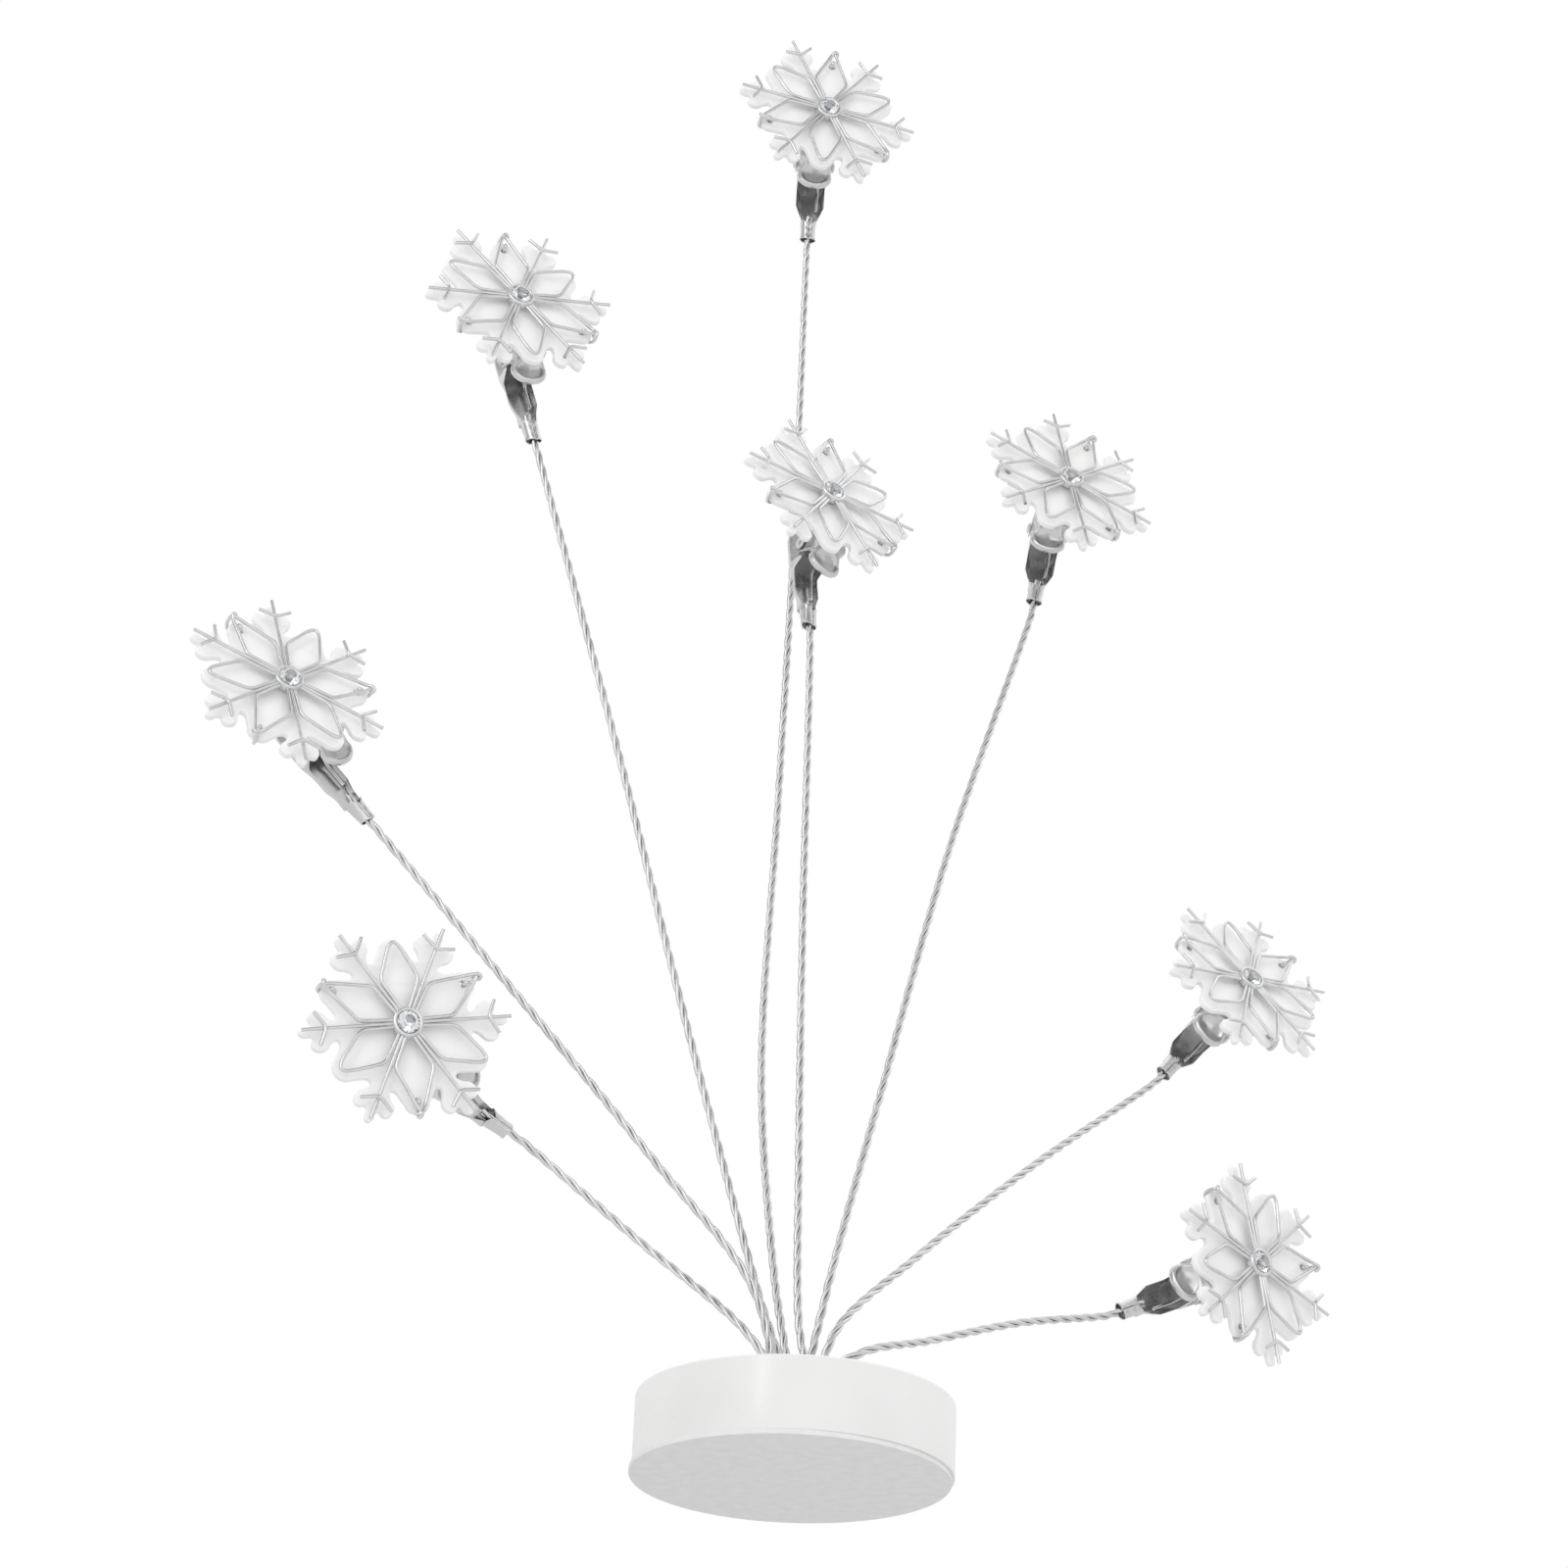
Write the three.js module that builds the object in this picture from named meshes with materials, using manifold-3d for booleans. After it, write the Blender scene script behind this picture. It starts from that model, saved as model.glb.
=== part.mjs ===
// Memo clip holder: a heavy round foot, a fan of wire stems, and on each stem a sprung clip that carries a
// snowflake. Millimetres, +Z up. The origin is the centre of the foot where it meets the table.
import * as THREE from 'three';
import { mergeVertices } from 'three/addons/utils/BufferGeometryUtils.js';
import Module from 'manifold-3d';

const wasm = await Module();
wasm.setup();

// Clearances
const FIT_GAP = 0.3;          // between pieces that touch or run on each other
const GLUE_FILM = 0.1;        // under the foot's pad
const TOOTH_GAP = 0.4;        // between the closed rows of teeth

// Foot and its pad
const BASE_DIAMETER = 60;
const BASE_HEIGHT = 14;
const BASE_EDGE_RADIUS = 0.8;
const BASE_SIDES = 48;
const RIM_STEPS = 3;
const PAD_THICKNESS = 0.9;    // the pad is cut to the foot's own outline
const PAD_SHIFT = -0.5;       // the pad is stuck on a little to the left
const HOLE_RING_RADIUS = 4.5;
const HOLE_DEPTH = 9;

// Stems: the round envelope of three wires twisted together
const STEM_DIAMETER = 1.7;
const STEM_SIDES = 5;
const STEM_RISE = 4;          // straight length above the foot
const STEM_LEAD = 3;          // straight length behind the clip
const STEM_INSERT = 4.5;      // length inside the clip's barrel
const STEM_STEPS = 3;         // steps between two points of a route
const TALLEST_CLIP = 314;     // height at which the tallest stem meets its clip
const WIDEST_CLIP = 89.4;     // how far to the side the widest stem meets its clip

// Clip, measured along it from the rear end of the barrel, and up from the stem's axis
const SHEET = 0.5;
const BARREL_LENGTH = 5.5;
const BARREL_SEAM_DEG = 12;
const CHANNEL_START = 10.5;
const CHANNEL_WIDTH = 6.6;
const CHANNEL_WALL_TOP = 1.0;
const CLIP_LENGTH = 35;
const NOSE_WIDTH = 4.6;
const NOSE_FLOOR = 0.8;
const PIVOT_X = 20;
const PIVOT_Z = 3.4;
const PIN_DIAMETER = 1.6;
const PIN_HEAD_DIAMETER = 2.8;
const PIN_HEAD_HEIGHT = 0.6;
const PIN_SIDES = 8;
const EAR_RADIUS = 1.9;       // from the pin's axis to the rim of an ear
const EAR_FOOT = 2.4;         // where an ear of the lower jaw starts, its shoulder and its flat top, in ear radii
const EAR_SHOULDER = 1.3;
const EAR_FLAT = 0.7;
const EAR_SHOULDER_RISE = 0.3; // how far a shoulder stands above the pin's axis, as a share of the ear
const UPPER_EAR_START = 1.35; // the ears of the upper jaw, in ear radii from the pin's axis: along, and down
const UPPER_EAR_STEPS = [[-0.85, 0.85], [-0.4, 1.1], [0.4, 1.1], [0.85, 0.85]];
const UPPER_EAR_RISE = 0.75;  // height of their rear corner above the pin's axis
const THUMB_END = 11.8;
const THUMB_WIDTH = 8.2;
const THUMB_HEIGHT = 6.2;
const THUMB_LIP = 0.7;        // how far the end of the thumb pad turns up
const THUMB_ROLL = 0.25;      // how far its sides roll down
// Sections of the thumb pad, as shares of its length, its half width and its lip
const THUMB_STEPS = [[0, 0.42, 1], [0.14, 0.75, 0.5], [0.35, 0.95, 0], [0.65, 1, 0]];
const NECK_WIDTH = 6.6;
const NECK_START = 1.8;       // in ear radii behind the pin's axis
const NECK_RISE = 0.4;        // how far the neck and the ears have risen from the thumb pad to the jaw's back
const EAR_RISE = 0.75;
const TOOTH_START = 25;
const TOOTH_COUNT = 4;
const TOOTH_HEIGHT = 0.8;
const TOOTH_LINE = 3.9;       // height of the tooth tips of the lower jaw

// Torsion spring round the pin
const SPRING_WIRE = 0.6;
const SPRING_TURNS = 2.5;
const SPRING_PITCH = 1.3;
const SPRING_STEPS = 8;
const SPRING_SIDES = 5;
const SPRING_PLAY = 0.05;     // what the coil has beyond its fit on the pin
const FLOOR_LEG_END = 9.8;
const FLOOR_LEG_BEND = 15.5;
const THUMB_LEG_END = 14.2;

// Snowflake
const FLAKE_DIAMETER = 42.5;
const FLAKE_X = 30.5;         // its centre along the clip
const FLAKE_SEAT = 8.0;       // height of the upper jaw's back under its centre
const FLAKE_SLOPE_DEG = 5;    // the jaw's back falls towards the nose
const BACKING_THICKNESS = 1.4;
const WIRE_STANDOFF = 1.6;    // from the backing to the middle of the wire
const WIRE_DIAMETER = 0.7;
const WIRE_SIDES = 3;
const PETAL_LENGTH = 16.9;    // a plain petal, with a rounded tip
const PETAL_TIP_WIDTH = 2.4;
const HOOKED_LENGTH = 18.3;   // every second petal ends in a hook round the backing's edge
const HOOKED_TIP_WIDTH = 1.4;
const PETAL_SHOULDER = 1.2;   // how far the shoulders lie behind the tip
const PETAL_WIDEST = 8.8;
const PETAL_WIDTH = 7.2;
const PETAL_ROOT_WIDTH = 1.2;
const BARB_START = 16.4;
const BARB_LENGTH = 3.4;
const BARB_DEG = 62;
const BACKING_MARGIN = 0.6;   // how far the backing shows outside a petal
const LOBE_WIDTH = 1.8;       // the middle lobe at the end of a backing arm
const VALLEY_RADIUS = 18.4;   // where the valleys beside it lie, and how far apart, in lobe widths
const VALLEY_SPREAD = 1.4;
const SIDE_LOBE_RADIUS = 18.9; // where the shoulders of the side lobes lie
const SIDE_LOBE_WIDTH = 8.2;  // across both side lobes, and the share of it between their shoulders
const SIDE_LOBE_SHOULDER = 0.86;
const NOTCH_RADIUS = 13.8;    // where the backing's petals and arms part
const NOTCH_WIDTH = 3.6;
const BEZEL_DIAMETER = 6.2;
const BEZEL_RIM = 0.9;        // how far the bezel stands above the wire
const STONE_DIAMETER = 4.5;
const STONE_TABLE = 2.5;
const STONE_CROWN = 0.9;
const BEZEL_SIDES = 8;

// Each stem leaves its own hole, counted round the ring from +X, passes its bends and ends at the rear of its
// clip. A clip's heading is counted from +X, its pitch from the level and its roll about its own length. Its
// snowflake is spun about its own middle, and leans and is shifted to a side, as it was glued on.
const UNITS = [
  { hole: 4, bends: [[-10, -1, 28], [-32, 6, 48]], clip: [-57.3, 6, 68.3],
    heading: 208, pitch: 25, roll: -83, spin: 40, lean: -10, shift: 0 },
  { hole: 3, bends: [[-9, 0, 37], [-29, 1, 62], [-58, 2, 96]], clip: [-WIDEST_CLIP, 2, 131.6],
    heading: 192.5, pitch: 45.5, roll: -67, spin: 25.5, lean: -2, shift: 2 },
  { hole: 2, bends: [[-8, 5, 38], [-23, 11, 90], [-42, 15, 158]], clip: [-63.4, 16, 229.3],
    heading: 170, pitch: 72.5, roll: -56, spin: 27, lean: 0, shift: 0 },
  { hole: 5, bends: [[-5, 3, 41], [-9, 18, 87], [-8, 36, 157], [-7, 51, 232]], clip: [-6.8, 62, TALLEST_CLIP],
    heading: 75, pitch: 86, roll: 22, spin: 26, lean: 8, shift: 0 },
  { hole: 6, bends: [[0, -2, 30], [-1, 6, 63], [-2, 20, 123]], clip: [-2.9, 34, 196.8],
    heading: 107, pitch: 75, roll: 23, spin: 26, lean: -8, shift: 0 },
  { hole: 1, bends: [[5, 7, 38], [15, 25, 87], [29, 48, 153]], clip: [48, 74, 226.8],
    heading: 64, pitch: 72, roll: 34, spin: 17, lean: 10, shift: 0 },
  { hole: 0, bends: [[7, 4, 30], [23, 22, 52], [48, 51, 83]], clip: [77.8, 83, 116.8],
    heading: 45, pitch: 46, roll: 73, spin: 19, lean: -8, shift: 0 },
  { hole: 7, bends: [[12, 0, 25], [25, 13, 32], [44, 31, 42.3]], clip: [65.2, 50, 51.7],
    heading: 35, pitch: 26.5, roll: 78, spin: 16, lean: 12, shift: 0 },
];

// Finishes
const FINISHES = {
  satinWhite: { color: 0xf3f3f1, roughness: 0.45, metalness: 0 },
  padGrey: { color: 0xd4d4d4, roughness: 0.8, metalness: 0 },
  brightWire: { color: 0xc9c9cb, roughness: 0.25, metalness: 1 },
  nickel: { color: 0xb4b4b7, roughness: 0.2, metalness: 1 },
  springSteel: { color: 0x9c9c9f, roughness: 0.3, metalness: 1 },
  matteWhite: { color: 0xf0f0ee, roughness: 0.75, metalness: 0 },
};

const MERGE_DISTANCE = 1e-4;

// Derived sizes that several pieces share
const rad = THREE.MathUtils.degToRad;
const baseBottom = PAD_THICKNESS + GLUE_FILM;
const baseTop = baseBottom + BASE_HEIGHT;
const stemRadius = STEM_DIAMETER / 2;
const boreRadius = stemRadius + FIT_GAP;
const barrelRadius = boreRadius + SHEET;
const channelHalf = CHANNEL_WIDTH / 2;
const earHalf = channelHalf + FIT_GAP + SHEET;
const pinHoleRadius = PIN_DIAMETER / 2 + FIT_GAP;
const noseLength = CLIP_LENGTH - TOOTH_START;
const flakeRadius = FLAKE_DIAMETER / 2;
const jawBack = (x) => FLAKE_SEAT - Math.tan(rad(FLAKE_SLOPE_DEG)) * (x - FLAKE_X);
const mix = (a, b, t) => a + (b - a) * t;

// Solids
function toSolid(geometry) {
  geometry.deleteAttribute('normal');
  geometry.deleteAttribute('uv');
  const merged = mergeVertices(geometry, MERGE_DISTANCE);
  return new wasm.Manifold(new wasm.Mesh({
    numProp: 3,
    vertProperties: new Float32Array(merged.attributes.position.array),
    triVerts: new Uint32Array(merged.index.array),
  }));
}

function toGeometry(solid) {
  const mesh = solid.getMesh();
  const geometry = new THREE.BufferGeometry();
  geometry.setAttribute('position', new THREE.BufferAttribute(mesh.vertProperties, 3));
  geometry.setIndex(new THREE.BufferAttribute(mesh.triVerts, 1));
  return geometry;
}

function join(solids) {
  return solids.reduce((whole, solid) => whole.add(solid));
}

// A closed skin over rings that all have the same number of points, with the given triangles as its two caps
function skin(rings, capTriangles) {
  const count = rings[0].length;
  const index = [];
  for (let r = 0; r + 1 < rings.length; r += 1) {
    for (let i = 0; i < count; i += 1) {
      const a = r * count + i;
      const b = r * count + (i + 1) % count;
      index.push(a, b, b + count, a, b + count, a + count);
    }
  }
  const last = (rings.length - 1) * count;
  for (const [a, b, c] of capTriangles) {
    index.push(a, c, b, last + a, last + b, last + c);
  }
  const geometry = new THREE.BufferGeometry();
  geometry.setAttribute('position', new THREE.Float32BufferAttribute(rings.flat().flatMap((p) => p.toArray()), 3));
  geometry.setIndex(index);
  return geometry;
}

// A solid tube along points, mitred at its bends. A section has a corner on the side of up.
function tube(points, radius, sides, up) {
  const legs = points.slice(1).map((p, i) => p.clone().sub(points[i]).normalize());
  let side = up.clone();
  const rings = points.map((point, i) => {
    const before = legs[Math.max(i - 1, 0)];
    const after = legs[Math.min(i, legs.length - 1)];
    const along = before.clone().add(after).normalize();
    const bend = after.clone().sub(before);
    const stretch = 1 / along.dot(after) - 1;
    bend.normalize();
    side = side.sub(along.clone().multiplyScalar(side.dot(along))).normalize();
    const across = along.clone().cross(side);
    return Array.from({ length: sides }, (_, k) => {
      const turn = 2 * Math.PI * k / sides;
      const out = side.clone().multiplyScalar(Math.cos(turn)).addScaledVector(across, Math.sin(turn));
      out.addScaledVector(bend, out.dot(bend) * stretch);
      return point.clone().addScaledVector(out, radius);
    });
  });
  const fan = Array.from({ length: sides - 2 }, (_, k) => [0, k + 1, k + 2]);
  return skin(rings, fan);
}

// A folded sheet-metal channel through stations along X. edge is the height of the walls' free edges, and
// back is the outer height of the web between them, above the walls or below.
function channel(stations) {
  const rings = stations.map(({ x, half, back, edge }) => {
    const inner = back + Math.sign(edge - back) * SHEET;
    const section = [[half, back], [half, edge], [half - SHEET, edge], [half - SHEET, inner]];
    const mirrored = section.map(([y, z]) => [-y, z]).reverse();
    const outline = [...section, ...mirrored];
    if (edge < back) {
      outline.reverse();
    }
    return outline.map(([y, z]) => new THREE.Vector3(x, y, z));
  });
  const caps = [[0, 1, 2], [0, 2, 3], [0, 3, 4], [0, 4, 7], [4, 5, 6], [4, 6, 7]];
  const flipped = caps.map((corners) => corners.map((i) => 7 - i).reverse());
  return skin(rings, stations[0].edge < stations[0].back ? flipped : caps);
}

function acrossCylinder(radius, length, sides) {
  return new THREE.CylinderGeometry(radius, radius, length, sides);
}

// Foot: a turned disc with a rounded rim, drilled for the stems
function baseGeometry() {
  const radius = BASE_DIAMETER / 2;
  const profile = [new THREE.Vector2(0, 0), new THREE.Vector2(radius, 0)];
  for (let i = 0; i <= RIM_STEPS; i += 1) {
    const turn = i * Math.PI / 2 / RIM_STEPS;
    profile.push(new THREE.Vector2(
      radius - BASE_EDGE_RADIUS * (1 - Math.cos(turn)),
      BASE_HEIGHT - BASE_EDGE_RADIUS * (1 - Math.sin(turn)),
    ));
  }
  profile.push(new THREE.Vector2(0, BASE_HEIGHT));
  const disc = new THREE.LatheGeometry(profile, BASE_SIDES).rotateX(Math.PI / 2);
  let solid = toSolid(disc);
  for (const unit of UNITS) {
    const drill = new THREE.CylinderGeometry(boreRadius, boreRadius, 2 * HOLE_DEPTH, PIN_SIDES);
    drill.rotateX(Math.PI / 2);
    drill.translate(...holeCentre(unit, BASE_HEIGHT));
    solid = solid.subtract(toSolid(drill));
  }
  return toGeometry(solid);
}

// The holes lie evenly round the ring, and +X falls between two of them
function holeCentre(unit, height) {
  const turn = rad((unit.hole + 0.5) * 360 / UNITS.length);
  return [HOLE_RING_RADIUS * Math.cos(turn), HOLE_RING_RADIUS * Math.sin(turn), height];
}

function padGeometry() {
  return new THREE.CylinderGeometry(BASE_DIAMETER / 2, BASE_DIAMETER / 2, PAD_THICKNESS, BASE_SIDES)
    .rotateX(Math.PI / 2);
}

// Stem: straight in its hole, through its bends, and straight again in the clip's barrel
function stemGeometry(unit) {
  const along = clipAxis(unit);
  const top = new THREE.Vector3(...holeCentre(unit, baseTop));
  const foot = top.clone().setZ(baseTop - HOLE_DEPTH + FIT_GAP);
  const end = new THREE.Vector3(...unit.clip);
  const route = new THREE.CatmullRomCurve3([
    top,
    top.clone().setZ(baseTop + STEM_RISE),
    ...unit.bends.map((p) => new THREE.Vector3(...p)),
    end.clone().addScaledVector(along, -STEM_LEAD),
    end,
  ]);
  const points = route.getPoints((route.points.length - 1) * STEM_STEPS);
  const tip = end.clone().addScaledVector(along, STEM_INSERT);
  return tube([foot, ...points, tip], stemRadius, STEM_SIDES, new THREE.Vector3(0, 1, 0));
}

function clipTurn(unit) {
  return new THREE.Euler(rad(unit.roll), -rad(unit.pitch), rad(unit.heading), 'ZYX');
}

function clipAxis(unit) {
  return new THREE.Vector3(1, 0, 0).applyEuler(clipTurn(unit));
}

// The free edges of the jaws zigzag from the tooth start to the nose
function toothStations() {
  return Array.from({ length: 2 * TOOTH_COUNT + 1 }, (_, i) => {
    const t = i / (2 * TOOTH_COUNT);
    return {
      x: TOOTH_START + noseLength * t,
      half: mix(channelHalf, NOSE_WIDTH / 2, t),
      floor: mix(-barrelRadius, NOSE_FLOOR, t),
      line: TOOTH_LINE - (i % 2) * TOOTH_HEIGHT,
    };
  });
}

// Lower jaw: crimp barrel, flared channel, ears for the pin, and a toothed nose
function lowerJawGeometry() {
  const floor = -barrelRadius;
  const earTop = PIVOT_Z + EAR_RADIUS;
  const half = channelHalf;
  const stations = [
    { x: BARREL_LENGTH - 2 * SHEET, half: barrelRadius, back: floor, edge: CHANNEL_WALL_TOP / 2 },
    { x: CHANNEL_START, half, back: floor, edge: CHANNEL_WALL_TOP },
    { x: PIVOT_X - EAR_FOOT * EAR_RADIUS, half, back: floor, edge: CHANNEL_WALL_TOP },
    { x: PIVOT_X - EAR_SHOULDER * EAR_RADIUS, half, back: floor, edge: mix(PIVOT_Z, earTop, EAR_SHOULDER_RISE) },
    { x: PIVOT_X - EAR_FLAT * EAR_RADIUS, half, back: floor, edge: earTop },
    { x: PIVOT_X + EAR_FLAT * EAR_RADIUS, half, back: floor, edge: earTop },
    { x: PIVOT_X + EAR_SHOULDER * EAR_RADIUS, half, back: floor, edge: TOOTH_LINE - TOOTH_HEIGHT },
    ...toothStations().map((s) => ({ x: s.x, half: s.half, back: s.floor, edge: s.line })),
  ];
  const drill = acrossCylinder(pinHoleRadius, 2 * CHANNEL_WIDTH, PIN_SIDES).translate(PIVOT_X, 0, PIVOT_Z);
  const body = toSolid(channel(stations)).add(toSolid(barrelGeometry()));
  return toGeometry(body.subtract(toSolid(drill)));
}

// Crimp barrel: a ring of sheet rolled round the stem, with a seam on top
function barrelGeometry() {
  const seam = rad(BARREL_SEAM_DEG);
  const arc = (radius, from, to) => new THREE.EllipseCurve(0, 0, radius, radius, from, to, from > to)
    .getPoints(PIN_SIDES);
  const outline = new THREE.Shape([
    ...arc(barrelRadius, seam, 2 * Math.PI - seam),
    ...arc(boreRadius, 2 * Math.PI - seam, seam),
  ]);
  return new THREE.ExtrudeGeometry(outline, { depth: BARREL_LENGTH, bevelEnabled: false })
    .rotateY(Math.PI / 2)
    .rotateX(Math.PI);
}

// Upper jaw: thumb pad with a turned-up lip, neck, ears outside those of the lower jaw, and a toothed nose
function upperJawGeometry() {
  const plate = (x, half, back) => ({ x, half, back, edge: back - SHEET - THUMB_ROLL });
  const neckX = PIVOT_X - NECK_START * EAR_RADIUS;
  const earStart = PIVOT_X - UPPER_EAR_START * EAR_RADIUS;
  const rise = (share) => mix(THUMB_HEIGHT, jawBack(earStart), share);
  const ear = (along, edge) => {
    const x = PIVOT_X + along * EAR_RADIUS;
    return { x, half: earHalf, back: jawBack(x), edge };
  };
  const stations = [
    ...THUMB_STEPS.map(([along, width, lip]) => plate(
      mix(THUMB_END, neckX, along), width * THUMB_WIDTH / 2, THUMB_HEIGHT + lip * THUMB_LIP,
    )),
    plate(neckX, NECK_WIDTH / 2, rise(NECK_RISE)),
    { x: earStart, half: earHalf, back: rise(EAR_RISE), edge: PIVOT_Z + UPPER_EAR_RISE * EAR_RADIUS },
    ...UPPER_EAR_STEPS.map(([along, down]) => ear(along, PIVOT_Z - down * EAR_RADIUS)),
    ear(UPPER_EAR_START, TOOTH_LINE + TOOTH_GAP),
    ...toothStations().map((s) => ({ x: s.x, half: s.half, back: jawBack(s.x), edge: s.line + TOOTH_GAP })),
  ];
  const drill = acrossCylinder(pinHoleRadius, 4 * earHalf, PIN_SIDES).translate(PIVOT_X, 0, PIVOT_Z);
  return toGeometry(toSolid(channel(stations)).subtract(toSolid(drill)));
}

// Pivot pin: a rivet with a head outside each ear
function pinGeometry() {
  const shank = earHalf + FIT_GAP;
  const profile = [
    new THREE.Vector2(0, -shank - PIN_HEAD_HEIGHT),
    new THREE.Vector2(PIN_HEAD_DIAMETER / 2, -shank),
    new THREE.Vector2(PIN_DIAMETER / 2, -shank),
    new THREE.Vector2(PIN_DIAMETER / 2, shank),
    new THREE.Vector2(PIN_HEAD_DIAMETER / 2, shank),
    new THREE.Vector2(0, shank + PIN_HEAD_HEIGHT),
  ];
  return new THREE.LatheGeometry(profile, PIN_SIDES);
}

// Torsion spring: a coil round the pin, with one leg on the channel's floor and one under the thumb pad
function springPoints() {
  const coilRadius = PIN_DIAMETER / 2 + FIT_GAP + SPRING_WIRE / 2 + SPRING_PLAY;
  const wireGap = FIT_GAP + SPRING_WIRE / 2;
  const width = SPRING_TURNS * SPRING_PITCH;
  const floorZ = -boreRadius + wireGap;
  const thumbZ = THUMB_HEIGHT - SHEET - wireGap;
  const steps = Math.round(SPRING_TURNS * SPRING_STEPS);
  const coil = Array.from({ length: steps + 1 }, (_, i) => {
    const turn = -Math.PI / 2 + 2 * Math.PI * SPRING_TURNS * i / steps;
    return new THREE.Vector3(
      PIVOT_X + coilRadius * Math.cos(turn),
      mix(-width / 2, width / 2, i / steps),
      PIVOT_Z + coilRadius * Math.sin(turn),
    );
  });
  return [
    new THREE.Vector3(FLOOR_LEG_END, -width / 2, floorZ),
    new THREE.Vector3(FLOOR_LEG_BEND, -width / 2, floorZ),
    ...coil,
    new THREE.Vector3(THUMB_LEG_END, width / 2, thumbZ),
  ];
}

function springGeometry() {
  return tube(springPoints(), SPRING_WIRE / 2, SPRING_SIDES, new THREE.Vector3(0, 1, 0));
}

// The least gap between turns of the spring, over points that are at least half a turn apart
function springSelfGap() {
  const points = springPoints();
  let least = Infinity;
  for (let i = 0; i < points.length; i += 1) {
    for (let j = i + SPRING_STEPS / 2; j < points.length; j += 1) {
      least = Math.min(least, points[i].distanceTo(points[j]) - SPRING_WIRE);
    }
  }
  return least;
}

// Snowflake outline: one half of a sixth, as radius and angle from an arm, is mirrored and repeated
function backingGeometry() {
  const polar = (radius, half) => [radius, Math.asin(half / radius)];
  const petalEdge = (radius, half) => {
    const [r, turn] = polar(radius, half);
    return [r, Math.PI / 6 - turn];
  };
  const halfSixth = [
    polar(flakeRadius, LOBE_WIDTH / 2),
    polar(VALLEY_RADIUS, LOBE_WIDTH * VALLEY_SPREAD / 2),
    polar(SIDE_LOBE_RADIUS, SIDE_LOBE_WIDTH * SIDE_LOBE_SHOULDER / 2),
    polar(SIDE_LOBE_RADIUS - LOBE_WIDTH, SIDE_LOBE_WIDTH / 2),
    polar(NOTCH_RADIUS, NOTCH_WIDTH / 2),
    petalEdge(PETAL_LENGTH - PETAL_SHOULDER, PETAL_TIP_WIDTH / 2 + 2 * BACKING_MARGIN),
    petalEdge(PETAL_LENGTH + BACKING_MARGIN, PETAL_TIP_WIDTH / 2),
  ];
  const outline = [];
  for (let k = 0; k < 6; k += 1) {
    const arm = k * Math.PI / 3;
    const before = halfSixth.map(([r, turn]) => [r, arm - turn]).reverse();
    const after = halfSixth.map(([r, turn]) => [r, arm + turn]);
    for (const [r, turn] of [...before, ...after]) {
      outline.push(new THREE.Vector2(r * Math.cos(turn), r * Math.sin(turn)));
    }
  }
  return new THREE.ExtrudeGeometry(new THREE.Shape(outline), { depth: BACKING_THICKNESS, bevelEnabled: false });
}

// Wire snowflake: petals, barbed arms and the bezel with its stone, soldered into one piece. Its zero height
// is the front of the backing.
function wireSnowflakeGeometry() {
  const up = new THREE.Vector3(0, 0, 1);
  const at = (along, across, turn) => new THREE.Vector3(along, across, WIRE_STANDOFF).applyAxisAngle(up, turn);
  const wire = (points) => toSolid(tube(points, WIRE_DIAMETER / 2, WIRE_SIDES, up));
  const root = BEZEL_DIAMETER / 2 - WIRE_DIAMETER;
  const pieces = [toSolid(bezelGeometry())];
  for (let k = 0; k < 6; k += 1) {
    const arm = k * Math.PI / 3;
    const petal = arm + Math.PI / 6;
    const hooked = k % 2 === 1;
    const length = hooked ? HOOKED_LENGTH : PETAL_LENGTH;
    const tipWidth = hooked ? HOOKED_TIP_WIDTH : PETAL_TIP_WIDTH;
    const side = (s) => [
      at(root, s * PETAL_ROOT_WIDTH / 2, petal),
      at(PETAL_WIDEST, s * PETAL_WIDTH / 2, petal),
      at(length - PETAL_SHOULDER, s * tipWidth / 2, petal),
    ];
    const barbX = BARB_START + BARB_LENGTH * Math.cos(rad(BARB_DEG));
    const barbY = BARB_LENGTH * Math.sin(rad(BARB_DEG));
    pieces.push(wire([...side(-1), at(length, 0, petal), ...side(1).reverse()]));
    pieces.push(wire([at(root, 0, arm), at(flakeRadius, 0, arm)]));
    pieces.push(wire([at(barbX, -barbY, arm), at(BARB_START, 0, arm), at(barbX, barbY, arm)]));
  }
  return toGeometry(join(pieces));
}

function bezelGeometry() {
  const rim = WIRE_STANDOFF + BEZEL_RIM;
  const profile = [
    [0, FIT_GAP],
    [STONE_DIAMETER / 2, FIT_GAP],
    [BEZEL_DIAMETER / 2, WIRE_STANDOFF / 2],
    [BEZEL_DIAMETER / 2, rim],
    [STONE_DIAMETER / 2, rim],
    [STONE_TABLE / 2, rim + STONE_CROWN],
    [0, rim + STONE_CROWN],
  ];
  return new THREE.LatheGeometry(profile.map(([r, z]) => new THREE.Vector2(r, z)), BEZEL_SIDES)
    .rotateX(Math.PI / 2);
}

// Assembly
function piece(name, geometry, finish) {
  const mesh = new THREE.Mesh(geometry, new THREE.MeshStandardMaterial(FINISHES[finish]));
  mesh.name = name;
  return mesh;
}

// Every clip has the same pieces, so each shape is made once
const clipShapes = {
  lowerJaw: lowerJawGeometry(),
  upperJaw: upperJawGeometry(),
  pin: pinGeometry(),
  spring: springGeometry(),
  backing: backingGeometry(),
  wires: wireSnowflakeGeometry(),
};

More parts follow.
